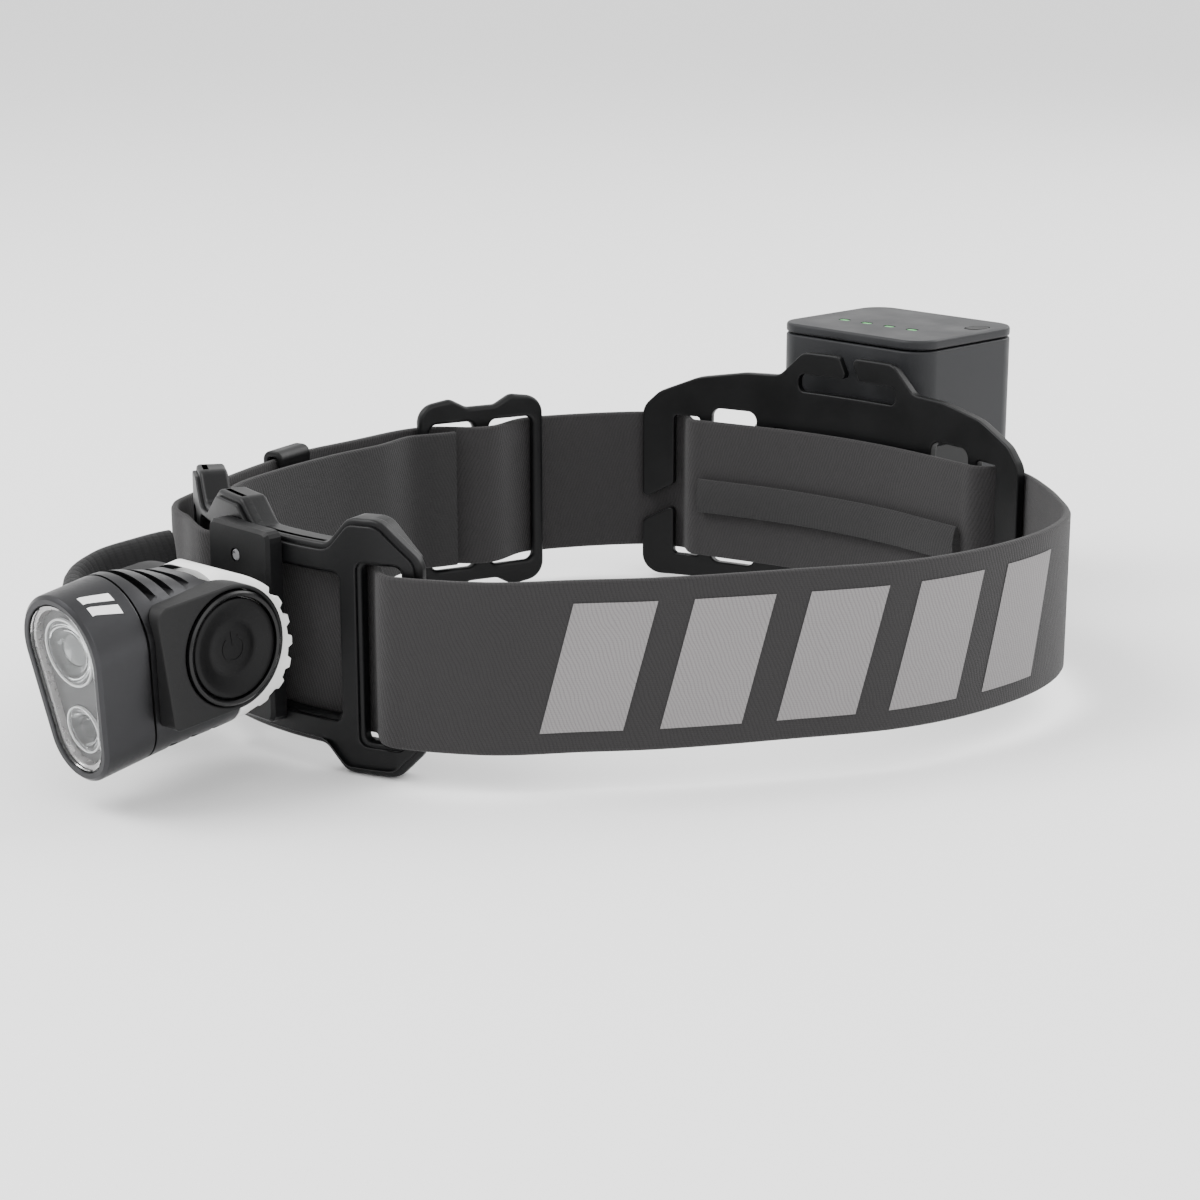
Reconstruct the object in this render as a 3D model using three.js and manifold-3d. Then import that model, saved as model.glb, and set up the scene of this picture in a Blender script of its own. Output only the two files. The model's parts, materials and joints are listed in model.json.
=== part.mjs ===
// A headlamp: a tilting aluminium lamp on a moulded front bracket, an elastic headband with its
// adjuster, and a rear bracket that carries a removable battery.
// Millimetres. +Z is up, the lamp shines towards -Y, the power button is on the +X side.
import * as THREE from 'three';
import { mergeVertices } from 'three/addons/utils/BufferGeometryUtils.js';
import Module from 'manifold-3d';

const wasm = await Module();
wasm.setup();

// ---------------------------------------------------------------- driving dimensions
const GAP = 0.3;                    // clearance between neighbouring pieces

const BAND_BOTTOM = 8;              // headband, a flat elastic strap standing on edge
const BAND_TOP = 44;
const BAND_THICK = 1.8;

const FRONT_CENTRE_Y = -17;         // the front bracket is a stretch of a cylinder about (0, this)
const FRONT_INNER_R = 74;
const FRONT_OUTER_R = 78;

const REAR_CENTRE = { x: 16.2, y: -74.9 };   // and the flatter rear bracket is one about this point
const REAR_INNER_R = 158;
const REAR_OUTER_R = 160.2;
const REAR_YAW = 3.84;              // degrees that the rear bracket is turned about the vertical

const LAMP_X = 3;                   // the middle of the lamp's tilt axis
const LAMP_Y = -116.4;
const LAMP_Z = 28.4;
const LAMP_TILT = THREE.MathUtils.degToRad(9);
const LAMP_YAW = 3.5;               // degrees that the lamp and its axis are turned towards +X
const LAMP_HALF_WIDTH = 12;
const BEZEL_FRONT = 30.5;           // distances forward of the tilt axis
const BEZEL_BACK = 18.3;
const HOUSING_BACK = -1.5;
const EGG_TOP = { z: 10, r: 12 };   // the front outline: two circles and their outer tangents
const EGG_LOW = { z: -8.2, r: 9.2 };
const DRUM_R = 16.7;
const SHOULDER_R = 9;               // rounds the corners of the lamp's rear outline
const TOOTH_HEIGHT = 1;
const TOOTH_COUNT = 7;
const FIRST_TOOTH = 38;             // degrees above the level line behind the tilt axis
const TOOTH_PITCH = 16.5;           // degrees
const BUTTON_Z = 2.5;               // the button sits above the tilt axis
const BUTTON_R = 10.2;
const RING_INNER_R = 10.5;
const RING_OUTER_R = 11.8;
const BOSS_R = 12.9;
const COVER_FACE_X = 14.4;          // outer face of the side cover, from the lamp's middle
const PIVOT_R = 1.5;
const LUG_HALF_WIDTH = 2.9;
const LUG_SLOT_HALF = 3.5;

const BATTERY = { halfWidth: 24, front: 88.2, back: 128.8, bottom: 2.1, top: 69.4, corner: 7 };
const LID_THICK = 2.5;
const CELL = { r: 9.1, length: 49.5 };

// ---------------------------------------------------------------- solids
function solidOf(geometry) {
  const bare = geometry.clone();
  bare.deleteAttribute('normal');
  bare.deleteAttribute('uv');
  const merged = mergeVertices(bare, 1e-4);
  return new wasm.Manifold(new wasm.Mesh({
    numProp: 3,
    vertProperties: new Float32Array(merged.attributes.position.array),
    triVerts: new Uint32Array(merged.index.array),
  }));
}

function geometryOf(solid) {
  const mesh = solid.getMesh();
  const geometry = new THREE.BufferGeometry();
  geometry.setAttribute('position', new THREE.BufferAttribute(mesh.vertProperties, 3));
  geometry.setIndex(new THREE.BufferAttribute(mesh.triVerts, 1));
  geometry.computeVertexNormals();
  return geometry;
}

function cut(solid, ...tools) {
  return tools.reduce((rest, tool) => rest.subtract(tool), solid);
}

// A box given by its two opposite corners.
function box(low, high) {
  const size = high.map((value, axis) => value - low[axis]);
  const geometry = new THREE.BoxGeometry(...size);
  geometry.translate(...low.map((value, axis) => value + size[axis] / 2));
  return solidOf(geometry);
}

// A round bar along X, Y or Z from one coordinate to the other, centred on a point.
function rod(axis, radius, from, to, centre, sides = 32) {
  const geometry = new THREE.CylinderGeometry(radius, radius, to - from, sides);
  if (axis === 'x') geometry.rotateZ(Math.PI / 2);
  if (axis === 'z') geometry.rotateX(Math.PI / 2);
  const place = new THREE.Vector3(...centre);
  place[axis] = (from + to) / 2;
  geometry.translate(place.x, place.y, place.z);
  return solidOf(geometry);
}

// A flat outline pushed along one axis. The outline's two coordinates are (y, z) along x,
// (x, z) along y, and (x, y) along z. A bevel rounds the edges and stays inside the outline.
function prism(axis, shape, from, to, bevel = 0, segments = 4) {
  const geometry = new THREE.ExtrudeGeometry(shape, {
    depth: to - from - 2 * bevel,
    curveSegments: segments,
    bevelEnabled: bevel > 0,
    bevelThickness: bevel,
    bevelSize: bevel,
    bevelOffset: -bevel,
    bevelSegments: 1,
  });
  geometry.translate(0, 0, bevel);
  const basis = {
    x: [[0, 1, 0], [0, 0, 1], [1, 0, 0], [from, 0, 0]],
    y: [[1, 0, 0], [0, 0, 1], [0, -1, 0], [0, to, 0]],
    z: [[1, 0, 0], [0, 1, 0], [0, 0, 1], [0, 0, from]],
  }[axis];
  const [a, b, c, start] = basis.map((v) => new THREE.Vector3(...v));
  geometry.applyMatrix4(new THREE.Matrix4().makeBasis(a, b, c).setPosition(start));
  return solidOf(geometry);
}

// A solid turned about an axis through a point, from [radius, distance along the axis] pairs.
function turned(axis, profile, centre, sides = 28) {
  const points = profile.map(([radius, along]) => new THREE.Vector2(radius, along));
  const geometry = new THREE.LatheGeometry(points, sides);
  if (axis === 'x') geometry.rotateZ(-Math.PI / 2);
  if (axis === 'z') geometry.rotateX(Math.PI / 2);
  geometry.translate(...centre);
  const solid = solidOf(geometry);
  if (solid.volume() > 0) return solid;
  geometry.index.array.reverse();
  return solidOf(geometry);
}

// A solid through matching rings of points, closed by flat ends.
function loft(rings) {
  const count = rings[0].length;
  const positions = rings.flat().flatMap((point) => [point.x, point.y, point.z]);
  const middle = (ring) => ring.reduce((sum, p) => sum.add(p), new THREE.Vector3()).divideScalar(count);
  const ends = [middle(rings[0]), middle(rings[rings.length - 1])];
  positions.push(...ends.flatMap((point) => [point.x, point.y, point.z]));
  const firstHub = rings.length * count;
  const faces = [];
  for (let i = 0; i < count; i += 1) {
    const j = (i + 1) % count;
    for (let ring = 0; ring < rings.length - 1; ring += 1) {
      const low = ring * count;
      const high = low + count;
      faces.push(low + i, low + j, high + j, low + i, high + j, high + i);
    }
    const last = (rings.length - 1) * count;
    faces.push(firstHub, j, i, firstHub + 1, last + i, last + j);
  }
  const geometry = new THREE.BufferGeometry();
  geometry.setAttribute('position', new THREE.Float32BufferAttribute(positions, 3));
  geometry.setIndex(faces);
  const solid = solidOf(geometry);
  if (solid.volume() > 0) return solid;
  geometry.setIndex(faces.reverse());
  return solidOf(geometry);
}

// ---------------------------------------------------------------- outlines
function polygon(points) {
  return new THREE.Shape(points.map(([a, b]) => new THREE.Vector2(a, b)));
}

// A polygon whose corners are rounded, each to its own radius: [a, b, radius].
function roundedPolygon(corners) {
  const shape = new THREE.Shape();
  const count = corners.length;
  corners.forEach(([a, b, radius], i) => {
    const here = new THREE.Vector2(a, b);
    const before = new THREE.Vector2(...corners[(i + count - 1) % count].slice(0, 2));
    const after = new THREE.Vector2(...corners[(i + 1) % count].slice(0, 2));
    const back = before.sub(here);
    const ahead = after.sub(here);
    const turn = Math.acos(back.clone().normalize().dot(ahead.clone().normalize()));
    const reach = Math.min(radius / Math.tan(turn / 2), 0.49 * Math.min(back.length(), ahead.length()));
    const enter = here.clone().add(back.setLength(reach));
    const leave = here.clone().add(ahead.setLength(reach));
    if (i === 0) shape.moveTo(enter.x, enter.y);
    else shape.lineTo(enter.x, enter.y);
    shape.quadraticCurveTo(here.x, here.y, leave.x, leave.y);
  });
  shape.closePath();
  return shape;
}

function rectangle(left, bottom, right, top, radius) {
  return roundedPolygon([[left, bottom, radius], [right, bottom, radius], [right, top, radius],
    [left, top, radius]]);
}

function circle(a, b, radius) {
  return new THREE.Shape().absarc(a, b, radius, 0, 2 * Math.PI, false);
}

// The lamp's front outline in (x, z), grown or shrunk, starting at its highest point.
function egg(grow = 0) {
  const lean = Math.asin((EGG_TOP.r - EGG_LOW.r) / (EGG_TOP.z - EGG_LOW.z));
  const shape = new THREE.Shape();
  shape.absarc(0, EGG_TOP.z, EGG_TOP.r + grow, Math.PI / 2, Math.PI + lean, false);
  shape.absarc(0, EGG_LOW.z, EGG_LOW.r + grow, Math.PI + lean, 2 * Math.PI - lean, false);
  shape.absarc(0, EGG_TOP.z, EGG_TOP.r + grow, -lean, Math.PI / 2, false);
  return shape;
}

// The lamp's rear outline in (x, z): a rounded oblong as tall as the drum.
function oblong(grow = 0) {
  const w = LAMP_HALF_WIDTH + grow;
  const h = DRUM_R + grow;
  const corner = SHOULDER_R;
  const shape = new THREE.Shape();
  shape.moveTo(0, h);
  shape.lineTo(-w + corner, h);
  shape.absarc(-w + corner, h - corner, corner, Math.PI / 2, Math.PI, false);
  shape.absarc(-w + corner, -h + corner, corner, Math.PI, 1.5 * Math.PI, false);
  shape.absarc(w - corner, -h + corner, corner, 1.5 * Math.PI, 2 * Math.PI, false);
  shape.absarc(w - corner, h - corner, corner, 0, Math.PI / 2, false);
  shape.lineTo(0, h);
  return shape;
}

// A flat strap on edge that follows a line in plan: its outline seen from above.
function ribbon(line, thickness, closed = false) {
  const count = line.length;
  const side = (offset) => line.map((point, i) => {
    const before = line[closed ? (i + count - 1) % count : Math.max(i - 1, 0)];
    const after = line[closed ? (i + 1) % count : Math.min(i + 1, count - 1)];
    const along = new THREE.Vector2(after.x - before.x, after.y - before.y).normalize();
    return new THREE.Vector2(point.x - along.y * offset, point.y + along.x * offset);
  });
  const left = side(thickness / 2);
  const right = side(-thickness / 2);
  if (!closed) return new THREE.Shape([...left, ...right.reverse()]);
  const shape = new THREE.Shape(right);
  shape.holes.push(new THREE.Path(left));
  return shape;
}

// A point on a circle in plan, by its angle from the front (-Y) towards +X, in degrees.
function frontPoint(degrees, radius) {
  const angle = THREE.MathUtils.degToRad(degrees);
  return [radius * Math.sin(angle), FRONT_CENTRE_Y - radius * Math.cos(angle)];
}

// And one on a circle about the rear bracket's centre, by its place along the bracket.
function rearPoint(along, radius) {
  const yaw = THREE.MathUtils.degToRad(REAR_YAW);
  const back = Math.sqrt(radius * radius - along * along);
  return [REAR_CENTRE.x + along * Math.cos(yaw) - back * Math.sin(yaw),
    REAR_CENTRE.y + along * Math.sin(yaw) + back * Math.cos(yaw)];
}

// Turns a solid from the rear bracket's own frame, whose origin is its centre, into place.
function placedAtRear(solid) {
  return solid.rotate([0, 0, REAR_YAW]).translate([REAR_CENTRE.x, REAR_CENTRE.y, 0]);
}

function smoothLine(points, samples, closed = false) {
  const knots = points.map(([x, y]) => new THREE.Vector3(x, y, 0));
  return new THREE.CatmullRomCurve3(knots, closed, 'centripetal').getPoints(samples);
}

// ---------------------------------------------------------------- materials and nodes
const MATERIALS = {
  anodised: { color: 0x3a3b3d, roughness: 0.42, metalness: 0.85 },
  moulded: { color: 0x161719, roughness: 0.5, metalness: 0 },
  cover: { color: 0x2e2f31, roughness: 0.55, metalness: 0 },
  gloss: { color: 0x0c0c0e, roughness: 0.25, metalness: 0 },
  rubber: { color: 0x121214, roughness: 0.7, metalness: 0 },
  white: { color: 0xf1f1ef, roughness: 0.45, metalness: 0 },
  clear: { color: 0xdfe6ea, roughness: 0.05, metalness: 0 },
  grey: { color: 0x55585b, roughness: 0.5, metalness: 0 },
  board: { color: 0x1d5a36, roughness: 0.6, metalness: 0 },
  led: { color: 0xf4e9a8, roughness: 0.4, metalness: 0 },
  green: { color: 0x12b83a, roughness: 0.4, metalness: 0 },
  fabric: { color: 0x444243, roughness: 0.9, metalness: 0 },
  steel: { color: 0xa7abb0, roughness: 0.3, metalness: 1 },
  cell: { color: 0x2f5f9e, roughness: 0.4, metalness: 0 },
};

const headlamp = new THREE.Group();
const lamp = new THREE.Group();
lamp.position.set(LAMP_X, LAMP_Y, LAMP_Z);
lamp.rotation.set(LAMP_TILT, 0, THREE.MathUtils.degToRad(LAMP_YAW), 'ZXY');
headlamp.add(lamp);

function addNode(parent, name, material, solid) {
  const mesh = new THREE.Mesh(geometryOf(solid), new THREE.MeshStandardMaterial(MATERIALS[material]));
  mesh.name = name;
  parent.add(mesh);
}

// ---------------------------------------------------------------- lamp head
// Its own frame: the tilt axis is X, and forward is -Y before it is tilted.
function bezel() {
  const body = prism('y', egg(), -BEZEL_FRONT, -BEZEL_BACK, 0.6, 8);
  const lensSeat = prism('y', egg(-1.9), -BEZEL_FRONT - 1, -BEZEL_FRONT + 2.5, 0, 8);
  const bore = prism('y', egg(-3.1), -BEZEL_FRONT - 1, -BEZEL_BACK + 1, 0, 8);
  return cut(body, lensSeat, bore);
}

function lensGasket() {
  const back = -BEZEL_FRONT + 2.2;
  return cut(prism('y', egg(-2.2), back - 0.5, back), prism('y', egg(-3), back - 1, back + 1));
}

function frontLens() {
  const back = -BEZEL_FRONT + 1.4;
  return prism('y', egg(-2.2), back - 1.2, back, 0, 8);
}

const SPOT = { z: 9.5, r: 6.8 };
const FLOOD = { z: -6.9, r: 4.7 };
const OPTIC_FRONT = 27.4;
const OPTIC_BACK = 21;

function opticHolder() {
  const plate = prism('y', egg(-3.5), -OPTIC_FRONT + 0.4, -OPTIC_FRONT + 2);
  const hole = ({ z, r }) => rod('y', r + GAP, -OPTIC_FRONT - 1, -OPTIC_BACK, [0, 0, z]);
  return cut(plate, hole(SPOT), hole(FLOOD));
}

// A collimating lens: a bowl that opens forward, with a pit over the LED.
function optic({ z, r }) {
  const length = OPTIC_FRONT - OPTIC_BACK;
  const profile = [[0, 0.34 * length], [0.22 * r, 0.3 * length], [0.3 * r, 0], [0.42 * r, 0],
    [0.78 * r, 0.4 * length], [r, 0.74 * length], [r, length], [0.42 * r, length],
    [0.34 * r, 0.86 * length], [0, 0.8 * length]];
  const forward = profile.map(([radius, along]) => [radius, -OPTIC_BACK - along]);
  return turned('y', forward, [0, 0, z]);
}

function ledBoard() {
  return prism('y', egg(-3.5), -19.7, -18.5);
}

function led({ z }) {
  return box([-1.7, -20.7, z - 1.7], [1.7, -20, z + 1.7]);
}

// The housing runs back from the bezel's egg outline to the drum's oblong one.
function housingBody(grow = 0) {
  const samples = 44;
  const front = egg(grow).getSpacedPoints(samples).slice(0, samples);
  const back = oblong(grow).getSpacedPoints(samples).slice(0, samples);
  const start = BEZEL_BACK - GAP + grow;
  const end = HOUSING_BACK - grow;
  const steps = 4;
  const rings = [];
  for (let step = 0; step <= steps; step += 1) {
    const t = step / steps;
    const ease = t * t * (3 - 2 * t);
    const y = -THREE.MathUtils.lerp(start, end, t);
    rings.push(front.map((point, i) => new THREE.Vector3(
      THREE.MathUtils.lerp(point.x, back[i].x, ease), y,
      THREE.MathUtils.lerp(point.y, back[i].y, ease))));
  }
  return loft(rings);
}

// The holes along the tilt axis: the pin's, the switch's on one side and the lead's on the other.
function axisHoles() {
  return [rod('x', PIVOT_R + GAP, -5.6, 5.6, [0, 0, 0], 20), rod('x', 2.9, 9, 14, [0, 0, BUTTON_Z]),
    rod('x', 2.1, -14, -9, [0, 0, 0])];
}

// A slot that runs across the lamp, leaning back as it comes down the shoulder.
function coolingSlot(forward, floor, side) {
  const width = 1.9;
  const geometry = new THREE.BoxGeometry(20, width, 12);
  geometry.rotateZ(0.06 * side);
  geometry.rotateX(0.2 * side);
  geometry.translate(2, -forward, floor + 6 * side);
  return solidOf(geometry);
}

function lampHousing() {
  const cavity = prism('y', rectangle(-9.4, -11.5, 9.4, 13.6, 3), -BEZEL_BACK - 1, -5.3);
  const topSlots = [[15, 16.9], [10.2, 16.3], [5.2, 15.8], [0.2, 14.9]]
    .map(([forward, floor]) => coolingSlot(forward, floor, 1));
  const lowSlots = [13.5, 8.6, 3.7].map((forward) => coolingSlot(forward, -14.8, -1));
  const eyePocket = rod('x', 4.4, -LUG_SLOT_HALF, LUG_SLOT_HALF, [0, 0, 0]);
  const lugPocket = box([-LUG_SLOT_HALF, -2.4, -14.5], [LUG_SLOT_HALF, 0, 0]);
  return cut(housingBody(), cavity, ...topSlots, ...lowSlots, eyePocket, lugPocket, ...lugSlots(),
    ...axisHoles());
}

// The room behind the tilt axis that the hinge's lug sweeps as the lamp tilts.
function lugSlots() {
  const past = DRUM_R + 2;
  return [box([-LUG_SLOT_HALF, 1.2, -past], [LUG_SLOT_HALF, past, 12.5]),
    box([-LUG_SLOT_HALF, 0, -past], [LUG_SLOT_HALF, past, 4.7])];
}

// The white rear cap: half a drum about the tilt axis, with ratchet teeth round its back.
function drumOutline() {
  const seam = -HOUSING_BACK + GAP;
  const seamAngle = THREE.MathUtils.radToDeg(Math.acos(seam / DRUM_R));
  const points = [];
  const arcTo = (from, to, radius) => {
    const steps = Math.max(1, Math.round(Math.abs(to - from) / 12));
    for (let i = 0; i <= steps; i += 1) {
      const angle = THREE.MathUtils.degToRad(from + ((to - from) * i) / steps);
      points.push([radius * Math.cos(angle), radius * Math.sin(angle)]);
    }
  };
  arcTo(seamAngle, FIRST_TOOTH, DRUM_R);
  for (let tooth = 0; tooth < TOOTH_COUNT; tooth += 1) {
    const start = FIRST_TOOTH - tooth * TOOTH_PITCH;
    arcTo(start - 0.12 * TOOTH_PITCH, start - 0.5 * TOOTH_PITCH, DRUM_R - TOOTH_HEIGHT);
    arcTo(start - 0.62 * TOOTH_PITCH, start - TOOTH_PITCH, DRUM_R);
  }
  arcTo(FIRST_TOOTH - TOOTH_COUNT * TOOTH_PITCH - 2, -seamAngle, DRUM_R);
  return polygon(points);
}

function tiltDrum() {
  const drum = prism('x', drumOutline(), -LAMP_HALF_WIDTH, LAMP_HALF_WIDTH)
    .intersect(prism('y', oblong(), 0, DRUM_R + 2));
  const past = DRUM_R + 2;
  const hollow = [1, -1].map((side) => {
    const from = side > 0 ? 5.4 : -10.2;
    return cut(prism('x', circle(0, 0, SHOULDER_R + 2), from, from + 4.8),
      rod('x', 4, -past, past, [0, 0, 0]));
  });
  return cut(drum, ...lugSlots(), ...axisHoles(), ...hollow);
}

// Both covers share an outline in (y, z): a raised flank that runs back into a round boss.
function coverOutline() {
  const flank = prism('x', roundedPolygon([[-17.1, -9.2, 1.5], [-16.8, 16.5, 3],
    [0, BUTTON_Z + BOSS_R, 1], [0, BUTTON_Z - BOSS_R, 1]]), 7, COVER_FACE_X);
  return flank.add(rod('x', BOSS_R, 7, COVER_FACE_X, [0, 0, BUTTON_Z], 56));
}

// The drum and the clearance round it, for a cover to fit over.
function drumSpace() {
  return rod('x', DRUM_R + GAP, -20, 20, [0, 0, 0]).intersect(prism('y', oblong(GAP), 0, DRUM_R + 2));
}

function sideCover() {
  const ringHole = rod('x', RING_OUTER_R + GAP, LAMP_HALF_WIDTH, 20, [0, 0, BUTTON_Z], 44);
  return cut(coverOutline(), housingBody(GAP), drumSpace(), ringHole);
}

function farCover() {
  const mirrored = coverOutline().mirror([1, 0, 0]);
  const glandHole = rod('x', 4.6, -20, 0, [0, 0, 0]);
  return cut(mirrored, housingBody(GAP), drumSpace(), glandHole);
}

function buttonRing() {
  const back = LAMP_HALF_WIDTH + GAP;
  const front = COVER_FACE_X + 0.8;
  return turned('x', [[RING_INNER_R, back], [RING_OUTER_R, back], [RING_OUTER_R, front - 0.5],
    [RING_OUTER_R - 0.5, front], [RING_INNER_R + 0.3, front], [RING_INNER_R, front - 0.4],
    [RING_INNER_R, back]], [0, 0, BUTTON_Z], 44);
}

function powerButton() {
  const back = LAMP_HALF_WIDTH + 1.2;
  const rim = COVER_FACE_X + 0.5;
  return turned('x', [[0, back], [BUTTON_R, back], [BUTTON_R, rim - 0.3], [BUTTON_R - 0.3, rim],
    [BUTTON_R - 1.6, rim], [BUTTON_R - 4, rim - 1], [3.4, rim - 1.1], [0, rim - 0.8]],
  [0, 0, BUTTON_Z], 44);
}

function buttonSwitch() {
  return rod('x', 2.5, 10.4, LAMP_HALF_WIDTH + 0.35, [0, 0, BUTTON_Z], 20);
}

function leadGland() {
  const back = -LAMP_HALF_WIDTH - GAP;
  const collar = rod('x', 4.3, back - 3.6, back, [0, 0, 0]);
  const plug = rod('x', 1.7, back - 3.6, back + 3, [0, 0, 0], 20);
  return collar.add(plug);
}

function driverBoard() {
  return box([-8.2, -14.2, -10.2], [8.2, -13, 12.2]);
}

addNode(lamp, 'bezel', 'anodised', bezel());
addNode(lamp, 'lens_gasket', 'rubber', lensGasket());
addNode(lamp, 'front_lens', 'clear', frontLens());
addNode(lamp, 'optic_holder', 'grey', opticHolder());
addNode(lamp, 'spot_optic', 'clear', optic(SPOT));
addNode(lamp, 'flood_optic', 'clear', optic(FLOOD));
addNode(lamp, 'led_board', 'board', ledBoard());
addNode(lamp, 'spot_led', 'led', led(SPOT));
addNode(lamp, 'flood_led', 'led', led(FLOOD));
addNode(lamp, 'lamp_housing', 'anodised', lampHousing());
addNode(lamp, 'tilt_drum', 'white', tiltDrum());
addNode(lamp, 'side_cover', 'cover', sideCover());
addNode(lamp, 'far_cover', 'cover', farCover());
addNode(lamp, 'button_ring', 'gloss', buttonRing());
addNode(lamp, 'power_button', 'rubber', powerButton());
addNode(lamp, 'button_switch', 'moulded', buttonSwitch());
addNode(lamp, 'lead_gland', 'moulded', leadGland());
addNode(lamp, 'driver_board', 'board', driverBoard());

// ---------------------------------------------------------------- hinge
const DOCK_BACK = FRONT_CENTRE_Y - FRONT_OUTER_R - GAP;
const DOCK_FRONT = DOCK_BACK - 3.4;
const DOCK_LEFT = -14.5;
const DOCK_RIGHT = 6.2;
const SCREW_X = -5;
const SCREW_Z = [15, 43];

function baseScrew(z) {
  const head = FRONT_CENTRE_Y - FRONT_INNER_R - 0.2;
  return turned('y', [[0, -3.4], [1.2, -3.4], [1.2, 2.2], [2.5, 3.5], [2.5, 3.9], [0, 3.9]]
    .map(([radius, along]) => [radius, head - 3.9 + along]), [SCREW_X, 0, z], 24);
}

function screwHole(z) {
  const head = FRONT_CENTRE_Y - FRONT_INNER_R;
  return turned('y', [[0, -4], [1.5, -4], [1.5, 2.1], [2.8, 3.4], [2.8, 4.9], [0, 4.9]]
    .map(([radius, along]) => [radius, head - 4.1 + along]), [SCREW_X, 0, z], 24);
}

function hingeBase() {
  const back = FRONT_CENTRE_Y - FRONT_INNER_R - 2;
  const plate = prism('y', rectangle(DOCK_LEFT, 8.5, DOCK_RIGHT, 49.5, 2.4), DOCK_FRONT, back, 0.7);
  const reach = DOCK_FRONT + 1.4 - LAMP_Y;
  const lug = prism('x', roundedPolygon([[reach, 8, 0.5], [0, 3.4, 0.1], [0, -3.4, 0.1],
    [reach, -8, 0.5]]), -LUG_HALF_WIDTH, LUG_HALF_WIDTH);
  const eye = rod('x', 3.4, -LUG_HALF_WIDTH, LUG_HALF_WIDTH, [0, 0, 0]);
  const pinHole = rod('x', PIVOT_R + GAP, -10, 10, [0, 0, 0], 20);
  const arm = onTiltAxis(cut(eye.add(lug), pinHole));
  const bracketFace = rod('z', FRONT_OUTER_R + GAP, -10, 80, [0, FRONT_CENTRE_Y, 0], 108);
  const springPocket = box([-6.7, DOCK_FRONT - 1, LAMP_Z - 6.5], [-3.3, DOCK_FRONT + 1.4, LAMP_Z + 6.5]);
  return cut(plate.add(arm), bracketFace, springPocket, ...SCREW_Z.map(screwHole));
}

// Turns a solid made about the origin to the lamp's tilt axis.
function onTiltAxis(solid) {
  return solid.rotate([0, 0, LAMP_YAW]).translate([LAMP_X, LAMP_Y, LAMP_Z]);
}

function pivotPin() {
  return onTiltAxis(rod('x', PIVOT_R, -5.1, 5.1, [0, 0, 0], 20));
}

// A leaf with a crown that the drum's teeth click over.
function detentSpring() {
  const back = DOCK_FRONT + 1;
  return prism('x', polygon([[back, LAMP_Z - 6], [back, LAMP_Z + 6], [back - 0.5, LAMP_Z + 6],
    [back - 1, LAMP_Z], [back - 0.5, LAMP_Z - 6]]), -6.3, -3.7);
}

addNode(headlamp, 'hinge_base', 'moulded', hingeBase());
addNode(headlamp, 'pivot_pin', 'steel', pivotPin());
addNode(headlamp, 'detent_spring', 'steel', detentSpring());
addNode(headlamp, 'base_screw_lower', 'steel', baseScrew(SCREW_Z[0]));
addNode(headlamp, 'base_screw_upper', 'steel', baseScrew(SCREW_Z[1]));

// ---------------------------------------------------------------- brackets
function mirrorCorners(half) {
  return [...half, ...half.map(([x, z, radius]) => [-x, z, radius]).reverse()];
}

// The part of an upright tube between two radii that an outline in (x, z) covers.
// It faces +Y or -Y from the tube's middle, which lies at this Y.
function curvedPlate(outline, innerR, outerR, centreY, facing) {
  const sides = 108;
  const tube = cut(rod('z', outerR, -5, 80, [0, centreY, 0], sides),
    rod('z', innerR, -6, 81, [0, centreY, 0], sides));
  const [from, to] = facing > 0 ? [centreY, centreY + outerR + 5] : [centreY - outerR - 5, centreY];
  return tube.intersect(prism('y', outline, from, to));
}

function through(outline, facing) {
  return facing > 0 ? prism('y', outline, 0, 200) : prism('y', outline, -120, 0);
}

// The front bracket's right end stops sooner than its left one, round the curve of the head.
const FRONT_OUTLINE = [
  [-51.5, 45, 6], [-42.5, 54, 4], [-35, 54, 3], [-30, 48.3, 2], [-26, 48.3, 2], [-20, 53.5, 3],
  [-9.5, 53.5, 3], [-4, 48.3, 3], [17, 48.3, 3], [22, 54.2, 4], [29, 54.4, 5], [37.3, 46.5, 5],
  [37.5, 6.5, 5], [32, 0.3, 4], [20.5, 0, 4], [15.5, 5.2, 3], [-30, 5.2, 3], [-35, 0, 4], [-46, 0, 5],
  [-51.5, 9, 6],
];

function frontBracket() {
  const plate = curvedPlate(roundedPolygon(FRONT_OUTLINE), FRONT_INNER_R, FRONT_OUTER_R, FRONT_CENTRE_Y, -1);
  const window = rectangle(0.5, 11.8, 19.7, 42, 1.5);
  const threading = rectangle(-30.5, 7.2, -11.5, 44.8, 1.5);
  const slots = [rectangle(25, 7.2, 33.2, 44.8, 1.2), rectangle(-41, 7.2, -36.5, 44.8, 1.5)];
  return cut(plate, ...[window, threading, ...slots].map((outline) => through(outline, -1)),
    ...SCREW_Z.map(screwHole));
}

const REAR_SCREW_X = 12;            // along the bracket, in its own frame
const REAR_SCREW_Z = 24;
const HOOK_SLOT = { halfWidth: 15.2, bottom: 53.9, top: 58.4 };

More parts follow.
